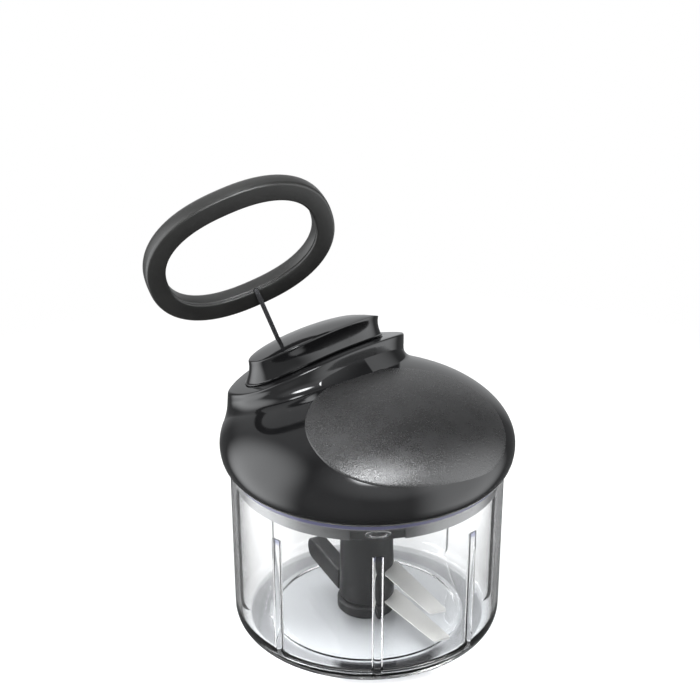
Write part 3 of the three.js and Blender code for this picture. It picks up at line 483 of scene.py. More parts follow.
def tube(name, path, radius, look, sides=20):
    """A round tube along a path, with U round it and V in millimetres along it."""
    path = np.asarray(path, float)
    tangents = np.gradient(path, axis=0)
    tangents /= np.linalg.norm(tangents, axis=1)[:, None]
    side = np.cross(tangents[0], [0.3, 0.9, 0.2])
    angles = full_turn(sides)[:, None]
    rings = []
    for point, tangent in zip(path, tangents):
        side = unit(side - tangent * (side @ tangent))
        across = np.cross(tangent, side)
        rings.append(point + radius * (np.cos(angles) * side + np.sin(angles) * across))
    run = run_along(path)
    verts = list(np.concatenate(rings))
    faces = grid_faces(len(path), sides)
    uv = []
    for i in range(len(path) - 1):
        for j in range(sides):
            u, w = j / sides, (j + 1) / sides
            uv += [(u, run[i]), (w, run[i]), (w, run[i + 1]), (u, run[i + 1])]
    tip_share = 0.5
    for base, tip, order, along in (
        (0, path[0] - tangents[0] * radius * tip_share, -1, run[0]),
        ((len(path) - 1) * sides, path[-1] + tangents[-1] * radius * tip_share, 1, run[-1]),
    ):
        close_end(verts, faces, base, sides, tip, order)
        for j in range(sides):
            uv += [(j / sides, along), ((j + 1) / sides, along), (j / sides, along + 0.6)]
    return mesh_object(name, verts, faces, look, 80, uv)


def smooth_step(value):
    value = np.clip(value, 0, 1)
    return value * value * (3 - 2 * value)


def superellipse(angles, half, squareness):
    c, s = np.cos(angles), np.sin(angles)
    power = 2 / squareness
    return half[0] * np.sign(c) * np.abs(c) ** power, half[1] * np.sign(s) * np.abs(s) ** power


def turned(x, y, angle):
    c, s = math.cos(angle), math.sin(angle)
    return x * c - y * s, x * s + y * c


def from_shoulder(x, y):
    return turned(x, y, SHOULDER_TURN)


def to_shoulder(x, y):
    return turned(x, y, -SHOULDER_TURN)


def ledge_height(x, y):
    length = (x - LEDGE_MIDDLE[0]) / LEDGE_HALF[0]
    width = (y - LEDGE_MIDDLE[1]) / LEDGE_HALF[1]
    return LEDGE_TOP + LEDGE_RISE * length - LEDGE_FALL * width - LEDGE_CROWN * length ** 2


def dome_height(x, y, proud=0.0):
    share = np.clip((x ** 2 + y ** 2) / (DOME_RADIUS + proud) ** 2, 0, 1)
    return DOME_WIDEST + (DOME_HEIGHT + proud) * np.sqrt(1 - share)


# Bowl: a turned wall and floor, with ribs and two pips on the inner wall
WALL_RADIUS = 66.6
PIP_RADIUS = 67.4
RIB_HALF = 2.75
RIB_PROUD = 1.5
RIB_FOOT = 5.2
RIB_TOP = 76.3
PIP_HALF = (6.2, 1.8)
PIP_HEIGHT = 88.6
PIP_ROUNDNESS = 2.4
PIP_PROUD = 0.8
PIP_HOLLOW = 0.55


def bowl_piece():
    foot, corner, corner_height = 59, 10, 11
    outer = [(foot - 1, 0), (foot, 0.12)]
    outer += [
        (foot + corner * math.sin(a), corner_height - 10.75 * math.cos(a))
        for a in np.linspace(0.12, math.pi / 2, 14)
    ]
    wall_out = [(foot + corner + (z - corner_height) / 83.6, z) for z in np.linspace(14, 93.6, 28)]
    rim = [(70, 94.15), (69.85, 94.45), (69.5, 94.6), (68.1, 94.6), (67.75, 94.45), (67.6, 94.15)]

    # Rows of the inner wall, closer where the pips and the ribs' tops need them
    heights = np.concatenate([
        np.arange(93.4, 91.0, -0.6), np.arange(90.9, 86.2, -0.25), np.linspace(85.6, 77.4, 8),
        np.arange(77.0, 74.8, -0.2), np.linspace(74, 13.4, 34),
    ])
    wall_foot, floor_radius, inner_corner = 12.6, 60, 6.6
    wall_in = [(WALL_RADIUS + (z - wall_foot) / 82.0, z) for z in heights]
    corner_in = [
        (floor_radius + inner_corner * math.cos(a), wall_foot - inner_corner * math.sin(a))
        for a in np.linspace(0.05, math.pi / 2, 12)
    ]
    floor = rounded([
        (60, 6), (50.6, 4.2), (49.4, 4.9), (47.8, 4.9), (46.6, 4.2), (7.2, 4.2), (6.5, 5.2), (6.4, 7.7),
        (2.8, 7.7), (2.8, 2), (0, 2),
    ], 0.5, {1: 2.0, 4: 1.2, 5: 1.0, 9: 0.1})
    underside = subdivided([(0.0, 0.0), (foot - 1.0, 0.0)], 8.0)[:-1]
    profile = underside + outer + wall_out + rim + wall_in + corner_in
    profile += subdivided(floor[1:-1], 4.0) + [floor[-1]]

    def refined(thetas, angle, reach, radius, places):
        kept = {t for t in thetas if abs(off_angle(t, angle)) > reach / radius}
        return kept | {round((angle + x / radius) % TAU, 5) for x in places}

    rib = [-3.4, -3.0, -2.7, -2.5, -2.3, -2.0, -1.2, 0, 1.2, 2.0, 2.3, 2.5, 2.7, 3.0, 3.4]
    pip = list(np.arange(-7.2, -3.5, 0.3)) + rib + list(np.arange(3.6, 7.3, 0.3))
    thetas = set(np.round(full_turn(240), 5))
    for angle in RIB_ANGLES:
        thetas = refined(thetas, angle, 3.6, WALL_RADIUS, rib)
    for angle in PIP_ANGLES:
        thetas = refined(thetas, angle, 7.4, PIP_RADIUS, pip)
    rows = {round(z, 4) for _, z in wall_in + corner_in}

    def change(radius, height, angles):
        radii = np.full(len(angles), float(radius))
        if round(height, 4) not in rows or radius < floor_radius:
            return radii
        for angle in RIB_ANGLES:
            across = np.abs(off_angle(angles, angle)) * radius
            side = smooth_step((RIB_HALF - across) / 0.45)
            top = smooth_step((RIB_TOP - height) / 0.9)
            low = smooth_step((height - RIB_FOOT) / 3.0)
            crown = 0.45 + 0.55 * np.sqrt(np.clip(1 - (across / 2.5) ** 2, 0, 1))
            radii -= RIB_PROUD * side * top * low * crown
        for angle in PIP_ANGLES:
            across = off_angle(angles, angle) * radius
            share = np.abs(across / PIP_HALF[0]) ** PIP_ROUNDNESS
            share = share + abs((height - PIP_HEIGHT) / PIP_HALF[1]) ** PIP_ROUNDNESS
            hollow = PIP_HOLLOW * smooth_step((0.5 - share) / 0.3)
            radii -= PIP_PROUD * smooth_step((1.2 - share) / 0.35) - hollow
        return radii

    return revolve("clear_bowl", profile, CLEAR, sorted(thetas), change, 50)


bowl = bowl_piece()
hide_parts("bowl")
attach(bowl, "bowl")


# Lid shell with its raised shoulder
def housing_piece():
    count = 288
    edge, shell, roof = 1.4, 2.8, 2.4
    lid_limit, foot_limit, inner_limit = 74.2, 74.75, 71.2
    softness = 1.2
    angles = full_turn(count)
    ox, oy = superellipse(angles, LEDGE_HALF, LEDGE_SQUARENESS)
    middle = np.array(from_shoulder(*LEDGE_MIDDLE))

    def limited(x, y, limit):
        """A place in the lid's plane, drawn in smoothly to a radius."""
        radius = np.hypot(x, y)
        soft = -np.log(np.exp(-radius * softness) + np.exp(-limit * softness)) / softness
        share = soft / radius
        return x * share, y * share

    def outline(inset):
        share = 1 - inset / np.hypot(ox, oy)
        x, y = from_shoulder(LEDGE_MIDDLE[0] + ox * share, LEDGE_MIDDLE[1] + oy * share)
        return limited(x, y, lid_limit - inset)

    def ledge_ring(x, y, drop, share=1.0):
        """A ring under the ledge's slope, drawn in to its middle by a share."""
        if share < 1:
            x, y = middle[0] + (x - middle[0]) * share, middle[1] + (y - middle[1]) * share
        return np.stack([x, y, ledge_height(*to_shoulder(x, y)) - drop], 1)

    def swell(angle, width):
        return np.exp(-((angles - angle) / width) ** 2)

    rings = [ledge_ring(*outline(edge), 0, share) for share in (0.15, 0.4, 0.65, 0.85)]
    for k in range(7):
        turn = math.pi / 2 * k / 6
        rings.append(ledge_ring(*outline(edge - edge * math.sin(turn)), edge * (1 - math.cos(turn))))

    # The wall goes down into a hollow that runs out on the dome, widest at the front left
    x0, y0 = outline(0)
    top = ledge_height(*to_shoulder(x0, y0)) - edge
    away = np.stack([x0, y0], 1) - middle
    away /= np.linalg.norm(away, axis=1)[:, None]
    reach = 4.6 + 5.0 * swell(4.05, 0.62)
    fx, fy = limited(x0 + away[:, 0] * reach, y0 + away[:, 1] * reach, foot_limit)
    foot = dome_height(fx, fy)
    base = dome_height(x0, y0)
    wall = np.maximum(top - base, 0.4)
    rise = np.minimum(0.62 * wall, reach * 0.9)
    low = np.minimum(base + rise, top - 0.2)
    for share in (0.25, 0.5, 0.75, 1.0):
        out = 1.5 * swell(3.7, 0.8) * share
        x, y = x0 + away[:, 0] * out, y0 + away[:, 1] * out
        rings.append(np.stack([x, y, top + (low - top) * share], 1))
    x0, y0 = rings[-1][:, 0], rings[-1][:, 1]
    knee_x = x0 + (fx - x0) * 0.12
    knee_y = y0 + (fy - y0) * 0.12
    knee_z = np.minimum(base + 0.25, low - 0.1)
    for share in np.linspace(0.1, 1, 10):
        a, b, c = (1 - share) ** 2, 2 * share * (1 - share), share ** 2
        rings.append(np.stack([
            a * x0 + b * knee_x + c * fx, a * y0 + b * knee_y + c * fy, a * low + b * knee_z + c * foot,
        ], 1))

    # From the foot over the dome to its widest line
    ray = np.stack([fx, fy], 1) - middle
    ray /= np.linalg.norm(ray, axis=1)[:, None]
    start = np.stack([fx, fy], 1)
    along = (start * ray).sum(1)
    run = -along + np.sqrt(np.maximum(along ** 2 - (start ** 2).sum(1) + DOME_RADIUS ** 2, 0))
    for share in np.linspace(0, 1, 36)[1:]:
        part = 1 - (1 - share) ** 2
        x, y = start[:, 0] + ray[:, 0] * run * part, start[:, 1] + ray[:, 1] * run * part
        rings.append(np.stack([x, y, dome_height(x, y)], 1))
    rim = rings[-1][:, :2] / DOME_RADIUS

    def skirt_ring(radius, height):
        return np.column_stack([rim * radius, np.full(count, height)])

    lower = [
        (74.95, 102.6), (74.75, 101), (74.35, 99.2), (73.7, 97.4), (72.9, 96.1), (72.1, 95.25), (71.6, 94.95),
        (71.1, 94.9), (69.2, 94.9), (68.7, 95.1), (68.6, 95.6), (69.6, 97.5), (71.4, 100), (72.3, 102.4),
    ]
    rings += [skirt_ring(*place) for place in lower]

    # Inner face
    inner_radius, inner_height = 72.4, 31.4
    ix, iy = limited(*outline(shell), inner_limit)
    end = rim * inner_radius
    for share in np.linspace(0, 1, 14)[:-1]:
        part = 1 - share ** 2
        x, y = ix + (end[:, 0] - ix) * part, iy + (end[:, 1] - iy) * part
        radius = np.clip((x ** 2 + y ** 2) / inner_radius ** 2, 0, 1)
        rings.append(np.stack([x, y, DOME_WIDEST + inner_height * np.sqrt(1 - radius)], 1))
    rings.append(ledge_ring(ix, iy, roof + 0.4))
    rings += [ledge_ring(ix, iy, roof, share) for share in (0.75, 0.4, 0.1)]
    height = ledge_height(*LEDGE_MIDDLE)
    return closed_loft("lid_shell", rings, GLOSS, 40, (*middle, height), (*middle, height - roof))


housing = housing_piece()
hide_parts("lid_housing")
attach(housing, "lid")


# Soft pad: a thin lens on the dome
PAD_MIDDLE = (19.2, -26.2)
PAD_HALF = (51.5, 40.0)
PAD_SQUARENESS = 2.1
PAD_TURN = 0.5
PAD_PROUD = 0.5
PAD_SUNK = -0.12


def pad_piece():
    px, py = superellipse(full_turn(220), PAD_HALF, PAD_SQUARENESS)
    c, s = math.cos(PAD_TURN), math.sin(PAD_TURN)
    px, py = PAD_MIDDLE[0] + px * c - py * s, PAD_MIDDLE[1] + px * s + py * c
    centre = np.array(PAD_MIDDLE)

    def ring(share, proud, inset=0.0):
        away = np.stack([px, py], 1) - centre
        length = np.linalg.norm(away, axis=1)[:, None]
        place = centre + away * share * (1 - inset / length)
        x, y = place[:, 0], place[:, 1]
        return np.stack([x, y, dome_height(x, y, proud)], 1)

    rings = [ring(share, PAD_PROUD) for share in np.linspace(0.06, 0.985, 26)]
    rounding = (0.48, 0.45), (0.4, 0.2), (0.26, 0.05), (0.1, 0.0), (-0.1, 0.02)
    rings += [ring(1, proud, inset) for proud, inset in rounding]
    rings += [ring(share, PAD_SUNK) for share in np.linspace(0.97, 0.06, 12)]
    height = float(dome_height(*centre, PAD_PROUD))
    low = float(dome_height(*centre, PAD_SUNK))
    return closed_loft("grip_pad", rings, PAD, 50, (*centre, height), (*centre, low))


pad = pad_piece()
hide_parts("hand_pad")
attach(pad, "lid")


# Cap on the shoulder: a waisted wall under a low crown, open below
CAP_MIDDLE = (-4.2, 40.4)
CAP_HALF = (39.0, 19.4)


def cap_piece():
    angles = full_turn(240)
    wall_foot, wall_rise, inner_roof = 1.6, 10.7, 11.0
    crown_edge, crown_rise = 13.0, 2.4

    def ring(inset, lift, share=1.0):
        x, y = superellipse(angles, (CAP_HALF[0] - inset, CAP_HALF[1] - inset), LEDGE_SQUARENESS)
        x, y = CAP_MIDDLE[0] + x * share, CAP_MIDDLE[1] + y * share
        wx, wy = from_shoulder(x, y)
        drop = 1.8 * smooth_step((x - 20) / 15) * max(0.0, lift - 9) / 4
        return np.stack([wx, wy, ledge_height(x, y) + lift - drop], 1)

    foot = (1.9, 0.3), (0.0, 0.3), (-0.45, 0.34), (-0.55, 0.6), (-0.5, 0.95), (-0.1, 1.15), (0.15, 1.3)
    shoulder = (1.56, 12.6), (1.7, 12.85), (1.95, crown_edge), (2.3, 13.08)
    rings = [ring(*place) for place in (*foot, (0.28, wall_foot))]
    for share in np.linspace(0.1, 1, 10):
        waist = 0.3 + 1.25 * share + 0.75 * math.sin(math.pi * share)
        rings.append(ring(waist, wall_foot + wall_rise * share))
    rings += [ring(*place) for place in shoulder]
    for share in (0.93, 0.86, 0.78, 0.68, 0.56, 0.42, 0.28, 0.12):
        rings.append(ring(1.6, crown_edge + crown_rise * (1 - share ** 2), share))
    inner = [ring(4.0, inner_roof, share) for share in (0.1, 0.5, 1.0)]
    inner += [ring(1.9, 0.3 + 9.0 * share) for share in (1.0, 0.5)] + [ring(3.4, 10.4)]
    middle = from_shoulder(*CAP_MIDDLE)
    height = float(ledge_height(*CAP_MIDDLE))
    first, last = (*middle, height + inner_roof), (*middle, height + 15.4)
    return closed_loft("dock_cap", inner + rings, GLOSS, 40, first, last)


cap = cap_piece()
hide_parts("handle_dock_cap")
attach(cap, "lid")


# Lid base with its skirt, and the seal
SKIRT_RADIUS = 66.7
RECESS_HALF = 13.5
RECESS_DEPTH = 1.1


def base_piece():
    profile = rounded([
        (9.1, 93), (64.3, 93), (64.3, 84.5), (66.7, 84.5), (66.7, 91.2), (65.5, 91.2), (65.5, 93.7),
        (66.7, 93.7), (66.7, 94.9), (68.3, 94.9), (68.3, 97.4), (64.3, 97.4), (61.9, 95.2), (9.1, 95.2),
        (9.1, 93),
    ], 0.35, {2: 0.7, 3: 0.8, 4: 0.2, 5: 0.2, 6: 0.2, 7: 0.2}, 3)
    thetas = set(np.round(full_turn(200), 5))
    edge = RECESS_HALF / SKIRT_RADIUS
    near_edge = [edge + x for x in (-0.012, -0.004, 0.0, 0.004, 0.008)]
    for angle in PIP_ANGLES:
        for side in (-1, 1):
            thetas |= {round((angle + side * place) % TAU, 5) for place in near_edge}

    def change(radius, height, angles):
        radii = np.full(len(angles), float(radius))
        if radius > 65.6 and height < 89.6:
            for angle in PIP_ANGLES:
                off = np.abs(off_angle(angles, angle)) * SKIRT_RADIUS
                radii -= RECESS_DEPTH * smooth_step((13.7 - off) / 0.4)
        return radii

    return revolve("lid_underside", subdivided(profile, 3.0), SKIRT, sorted(thetas), change, 40)


base = base_piece()
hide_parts("lid_base")
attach(base, "lid")

seal_profile = [
    (65.8, 91.5), (66.6, 91.5), (67.1, 91.75), (67.3, 92.1), (67.0, 92.4), (67.3, 92.85), (67.1, 93.2),
    (66.6, 93.4), (65.8, 93.4), (65.8, 91.5),
]
seal = revolve("lid_seal_ring", seal_profile, RUBBER, full_turn(180))
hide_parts("lid_seal")
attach(seal, "lid")


# Blade column, with its hexagonal socket on top, and the collar
HEXAGON = 6.7


def column_piece():
    foot_radius, taper, low, length = 14.3, 0.9, 13.3, 66.7
    profile = [(4.8, 13.35), (13.4, 13.35), (13.55, 13.9), (13.75, 14.3), (14.25, 14.6)]
    profile += [(foot_radius - taper * (z - low) / length, z) for z in np.linspace(15.2, 78.6, 14)]
    profile += [
        (13.3, 79.2), (12.9, 79.8), (12.2, 80), (8.2, 80), (7.2, 79.6), (HEXAGON, 78.8), (HEXAGON, 66.2),
        (4.8, 66), (4.7, 13.6), (4.8, 13.35),
    ]

    def change(radius, height, angles):
        if radius == HEXAGON:
            sector = (angles % (math.pi / 3)) - math.pi / 6
            return HEXAGON * math.cos(math.pi / 6) / np.cos(sector)
        return np.full(len(angles), float(radius))

    return revolve("column_tube", profile, BLACK, full_turn(144), change, 36)


column = column_piece()
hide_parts("blade_column")
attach(column, "blades")

collar_profile = rounded([
    (4.7, 9.1), (6.9, 9.1), (6.9, 5.6), (14.2, 5.6), (15.4, 6.8), (15.4, 11.6), (14.3, 12.95), (4.7, 12.95),
    (4.7, 9.1),
], 0.6, {1: 0.1, 7: 0.1})
collar = revolve("collar_ring", collar_profile, BLACK)
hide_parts("column_collar")
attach(collar, "blades")


# Blades: flat ground steel with a bevel along the leading edge
BLADE_THICKNESS = 1.2
EDGE_THICKNESS = 0.22


def blade_piece(name, node, low, turn):
    back = [(7.6, 13.7), (30, 13.4), (50, 12.95), (58.6, 12.65), (59.25, 12.3)]
    bevel = [(7.6, 5.6), (30, 6.5), (50, 7.3), (57.6, 7.6), (58.75, 7.8)]
    edge = [(7.6, 1.9), (30, 2.85), (50, 3.65), (57.4, 3.98), (58.1, 4.3)]
    high, thin = low + BLADE_THICKNESS, low + EDGE_THICKNESS
    verts = []
    for outline, z in ((back, high), (bevel, high), (edge, thin), (edge, low), (back, low)):
        verts += [(x, y, z) for x, y in outline]
    faces = []
    count = len(back)
    for row in range(5):
        for j in range(count - 1):
            a, b = row * count + j, (row + 1) % 5 * count + j
            faces.append((a + 1, a, b, b + 1))
    faces.append([row * count for row in range(5)])
    faces.append([row * count + count - 1 for row in range(4, -1, -1)])
    verts = [(*turned(x, y, turn), z) for x, y, z in verts]
    made = mesh_object(name, verts, faces, STEEL, 20)
    bevel_edges = made.modifiers.new("edges", "BEVEL")
    bevel_edges.width = 0.00012
    bevel_edges.segments = 2
    bevel_edges.limit_method = "ANGLE"
    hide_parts(node)
    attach(made, "blades")


blade_piece("blade_low", "lower_blade", 13.8, -1.02)
blade_piece("blade_high", "upper_blade", 31.5, -1.07)


# Wing opposite the blades: an upright slab with two round corners
WING_ROOT = 7.6
WING_HEIGHTS = (14.2, 25.8)
WING_CORNER = 5.4
WING_SIDES = (4.6, 13.2)
WING_TURN = 2.02


def wing_piece():
    low, high = WING_HEIGHTS
    outline = [(WING_ROOT, low)]
    for height, start in ((low + WING_CORNER, 1), (high - WING_CORNER, 0)):
        for k in range(9):
            turn = math.pi / 2 * (k / 8 - start)
            outline.append((42.1 + WING_CORNER * math.cos(turn), height + WING_CORNER * math.sin(turn)))
    outline.append((WING_ROOT, high))
    outline = subdivided([np.array(p) for p in outline], 6.0)
    near, far = WING_SIDES
    middle_x, middle_z = 27.0, 20.0
    rings = []
    for y, inset in (
        (near, 0.9), (near + 0.15, 0.45), (near + 0.5, 0.12), (near + 1.0, 0),
        (far - 1.0, 0), (far - 0.5, 0.12), (far - 0.15, 0.45), (far, 0.9),
    ):
        ring = []
        for x, z in outline:
            along = x if x < 8 else x - inset * (x - middle_x) / 20.5
            up = middle_z + (z - middle_z) * (1 - inset / 5.8)
            ring.append((*turned(along, y, WING_TURN), up))
        rings.append(ring)
    tips = [(*turned(middle_x, y, WING_TURN), middle_z) for y in (near, far)]
    return closed_loft("wing_block", rings, BLACK, 40, *tips)


wing = wing_piece()
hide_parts("stirring_wing")
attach(wing, "blades")


# Ring handle: an oval bar with a bead and a groove at its inner edge
RING_HALF = (50.5, 36.0)
RING_SQUARENESS = 2.33
RING_PLACE = (27.0, 8.0)


def ring_piece():
    stations = 260
    half, thick = 5.1, 6.4
    section = rounded([
        (-0.2, -1), (0.86, -0.98), (1.0, -0.7), (1.0, -0.1), (0.93, 0.45), (0.6, 0.9), (0.05, 1.0),
        (-0.6, 0.94), (-0.93, 0.6), (-1.0, -0.1), (-0.99, -0.58), (-0.88, -0.66), (-0.9, -0.72),
        (-1.0, -0.78), (-0.99, -0.94), (-0.86, -1.0), (-0.2, -1),
    ], 0.22, {1: 0.3, 10: 0.05, 11: 0.04, 12: 0.04, 13: 0.06, 14: 0.1, 15: 0.1})[:-1]
    middle_line = RING_HALF[0] - half, RING_HALF[1] - half
    x, y = superellipse(full_turn(4 * stations), middle_line, RING_SQUARENESS)
    x, y = np.append(x, x[0]), np.append(y, y[0])
    run = np.concatenate([[0], np.cumsum(np.hypot(np.diff(x), np.diff(y)))])
    spots = np.linspace(0, run[-1], stations, endpoint=False)
    x, y = np.interp(spots, run, x), np.interp(spots, run, y)
    dx = np.roll(x, -1) - np.roll(x, 1)
    dy = np.roll(y, -1) - np.roll(y, 1)
    size = np.hypot(dx, dy)
    dx, dy = dx / size, dy / size
    rings = []
    for out, up in section:
        place = x + dy * half * out, y - dx * half * out, np.full(stations, up * thick)
        rings.append(np.stack(place, 1))
    verts = np.array(rings).reshape(-1, 3)
    verts[:, 1] += RING_PLACE[0]
    verts[:, 2] += RING_PLACE[1]
    placed = on_ring(verts[:, :1], verts[:, 1:2], verts[:, 2:])
    faces = grid_faces(len(section), stations, loop_rows=True)
    return mesh_object("ring_handle", placed, faces, SATIN, 45)


def drilled(piece, holes, sharp):
    """Cuts round holes along straight lines, each given by its two ends and its radius."""
    cutters = []
    for start, end, radius in holes:
        line = [start + (end - start) * share for share in np.linspace(0, 1, 6)]
        cutter = tube("cutter", line, radius, SATIN, 32)
        hole = piece.modifiers.new("hole", "BOOLEAN")
        hole.operation, hole.solver, hole.object = "DIFFERENCE", "EXACT", cutter
        cutters.append(cutter)
    bpy.context.view_layer.update()
    result = piece.evaluated_get(bpy.context.evaluated_depsgraph_get())
    mesh = bpy.data.meshes.new_from_object(result)
    piece.modifiers.clear()
    piece.data = mesh
    for cutter in cutters:
        bpy.data.objects.remove(cutter)
    mesh.set_sharp_from_angle(angle=math.radians(sharp))
    mesh.materials.clear()
    mesh.materials.append(SATIN)


# The knot's pocket, open at the back, and the slanted hole that leads the cord to it
ring = ring_piece()
KNOT = (0, -2.6, 6.2)
POCKET_RADIUS = 2.3
HOLE_RADIUS = 1.55
drilled(ring, [
    (on_ring(*KNOT), on_ring(0, KNOT[1], 15.5), POCKET_RADIUS),
    (on_ring(0, 3.3, -0.6), on_ring(*KNOT), HOLE_RADIUS),
], 45)
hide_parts("pull_ring")
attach(ring, "ring")


# Cord: the taut stretch, its bend into the ring, and the knot
def smooth_path(points, step=0.6):
    """A path through the points, with even steps."""
    points = [np.asarray(p, float) for p in points]
    ends = [2 * points[0] - points[1], *points, 2 * points[-1] - points[-2]]
    fine = []
    for a, b, c, d in zip(ends, ends[1:], ends[2:], ends[3:]):
        for t in np.linspace(0, 1, 24, endpoint=False):
            fine.append(0.5 * (2 * b + (c - a) * t + (2 * a - 5 * b + 4 * c - d) * t * t
                               + (3 * b - 3 * c + d - a) * t ** 3))
    fine.append(points[-1])
    fine = np.array(fine)
    run = run_along(fine)
    spots = np.linspace(0, run[-1], max(4, int(run[-1] / step)))
    return np.stack([np.interp(spots, run, fine[:, i]) for i in range(3)], 1)


# The taut stretch ends at SPLIT, and the bend goes on from there
SPLIT = 30.0
taut_path = [MOUTH + CORD_AXIS * s for s in np.linspace(0, SPLIT, 36)]
cord_taut = tube("cord_taut", taut_path, CORD_RADIUS, BRAID)
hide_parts("pull_cord")

bend_route = [MOUTH + CORD_AXIS * s for s in (SPLIT - 1.5, SPLIT + 3, SPLIT + 6, CORD_FREE - 1.2)]
bend_route += [on_ring(0, 1.2, 0.55), on_ring(0, 1.4, 1.6), on_ring(0, 0.1, 3.2), on_ring(0, -2.2, 5.6)]
bend_path = smooth_path(bend_route)
cord_bend = tube("cord_bend", bend_path, CORD_RADIUS * 0.985, BRAID)


def knot_piece():
    """An overhand knot, drawn tight: a trefoil. Its cord is squeezed to 0.85 mm in radius."""
    points = []
    for t in np.linspace(0, TAU, 90):
        x = math.sin(t) + 2 * math.sin(2 * t)
        y = math.cos(t) - 2 * math.cos(2 * t)
        z = -math.sin(3 * t)
        points.append(on_ring(x * 0.36, KNOT[1] + y * 0.36, KNOT[2] + z * 0.62))
    return tube("cord_tie", points, 0.85, BRAID, 14)


knot = knot_piece()
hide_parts("cord_knot")
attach(knot, "ring")

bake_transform(cord_taut)
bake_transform(cord_bend)


# Inner cord: the run from the reel to the eyelet, and the turns on the reel
def ledge_normal():
    x, _ = to_shoulder(MOUTH[0], MOUTH[1])
    half_length, half_width = LEDGE_HALF
    slope = (LEDGE_RISE - 2 * LEDGE_CROWN * (x - LEDGE_MIDDLE[0]) / half_length) / half_length
    nx, ny = from_shoulder(-slope, LEDGE_FALL / half_width)
    return unit([nx, ny, 1])


EYELET_AXIS = ledge_normal()
# Inside, the cord is drawn a little thinner
SNUG = 0.98
inner_route = [(-21.1, 0, 111.3), (-21.1, 10, 111.3), (-22, 19.6, 111.5)]
inner_route += [MOUTH - EYELET_AXIS * depth for depth in (13, 8.3, 3, 0.2)]
inner_run = tube("cord_run", smooth_path(inner_route, 0.9), CORD_RADIUS * SNUG, WOUND, 14)
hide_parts("cord_inner_run")
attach(inner_run, "lid")


TURNS_PER_LAYER = 3.6
LAYER_RADII = (15.0, 17.1, 18.4)
COIL_HEIGHTS = (107.7, 114.9)


def wound_piece():
    """The turns of cord on the reel's core, in layers that climb and come back by turns."""
    points = []
    last = len(LAYER_RADII) - 1
    for layer, radius in enumerate(LAYER_RADII):
        low, high = COIL_HEIGHTS if layer % 2 == 0 else COIL_HEIGHTS[::-1]
        step = LAYER_RADII[min(layer + 1, last)] - radius
        for t in np.linspace(0, 1, 230):
            angle = TAU * TURNS_PER_LAYER * (layer + t)
            here = radius + smooth_step(np.array((t - 0.9) / 0.1)) * step
            points.append((here * math.cos(angle), here * math.sin(angle), low + (high - low) * t))
    return tube("wound_turns", points, CORD_RADIUS * SNUG, WOUND, 10)


wound = wound_piece()
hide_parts("cord_coil")
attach(wound, "reel")


# Eyelet: a smooth lipped bush where the cord leaves the ledge
def eyelet_piece():
    profile = rounded([
        (1.5, -8), (3.4, -8), (3.4, -0.4), (4.35, -0.3), (4.4, 0.25), (3.6, 0.62), (2.2, 0.6), (1.55, 0.0),
        (1.5, -8),
    ], 0.3)
    made = revolve("eyelet_bush", profile, BLACK, full_turn(72))
    side = unit(np.cross(EYELET_AXIS, [0, 1, 0]))
    up = np.cross(EYELET_AXIS, side)
    coords = np.array([v.co for v in made.data.vertices])
    placed = MOUTH * MM + coords[:, :1] * side + coords[:, 1:2] * up + coords[:, 2:] * EYELET_AXIS
    made.data.vertices.foreach_set("co", placed.reshape(-1))
    made.data.update()
    return made


eyelet = eyelet_piece()
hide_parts("cord_eyelet")
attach(eyelet, "lid")


# CAD pieces that keep their shape
LOOKS = {
    "steel": STEEL,
    "black_plastic": BLACK,
    "white_nylon": NYLON,
    "seal_rubber": RUBBER,
    "gloss_black": GLOSS,
    "soft_grip": PAD,
    "clear_plastic": CLEAR,
    "cord": WOUND,
}
for subpart in frame["record"]["subparts"]:
    kept = frame["nodes"][subpart["node"]]
    kept.data.materials.clear()
    kept.data.materials.append(LOOKS[subpart["material_slot"]])


# Floor: pale, with a soft shadow, and fading into the backdrop
FLOOR_LEVEL = -0.2
FLOOR_RADII = (60, 150, 300, 440)


def floor_piece():
    made, g = material("pale_floor")
    grain = g.noise(120, 3, 0.5)
    paths = g.node("LightPath")
    # A first reflection sees a dark floor, and scattered light a dimmer one
    reflected = g.math("COMPARE", paths.outputs["Glossy Depth"], 1.0, 0.5)
    scattered = g.math("GREATER_THAN", paths.outputs["Diffuse Depth"], 0.5)
    dimmed = g.math("MAXIMUM", g.math("MULTIPLY", reflected, 0.9), g.math("MULTIPLY", scattered, 0.4))
    level = g.math("SUBTRACT", 1.0, dimmed)
    inputs = {
        "Base Color": g.grey(g.math("MULTIPLY", g.span(grain, 0.96, 0.97, 0.3, 0.7), level)),
        "Roughness": 0.8,
        "Specular IOR Level": 0.1,
    }
    paint = principled(g, inputs)
    place = g.node("VectorMath", {0: g.place()}, operation="LENGTH").outputs["Value"]
    near = g.math("MULTIPLY", g.span(place, 0, 1, 0.1, 0.18), reflected)
    far = g.math("MULTIPLY", g.span(place, 0, 1, 0.2, 0.42), g.math("SUBTRACT", 1.0, reflected))
    clear = g.node("BsdfTransparent").outputs["BSDF"]
    mix = g.node("MixShader", {0: g.math("ADD", near, far), 1: paint, 2: clear})
    finish_material(g, mix.outputs["Shader"])
    count = 96
    angles = full_turn(count)
    flat = np.full(count, FLOOR_LEVEL)
    rings = [np.stack([radius * np.cos(angles), radius * np.sin(angles), flat], 1) for radius in FLOOR_RADII]
    verts = list(np.concatenate(rings)) + [np.array([0, 0, FLOOR_LEVEL])]
    faces = grid_faces(len(FLOOR_RADII), count)
    faces += [((j + 1) % count, j, len(verts) - 1) for j in range(count)]
    return mesh_object("pale_floor", verts, [face[::-1] for face in faces], made, 180)


floor_piece()

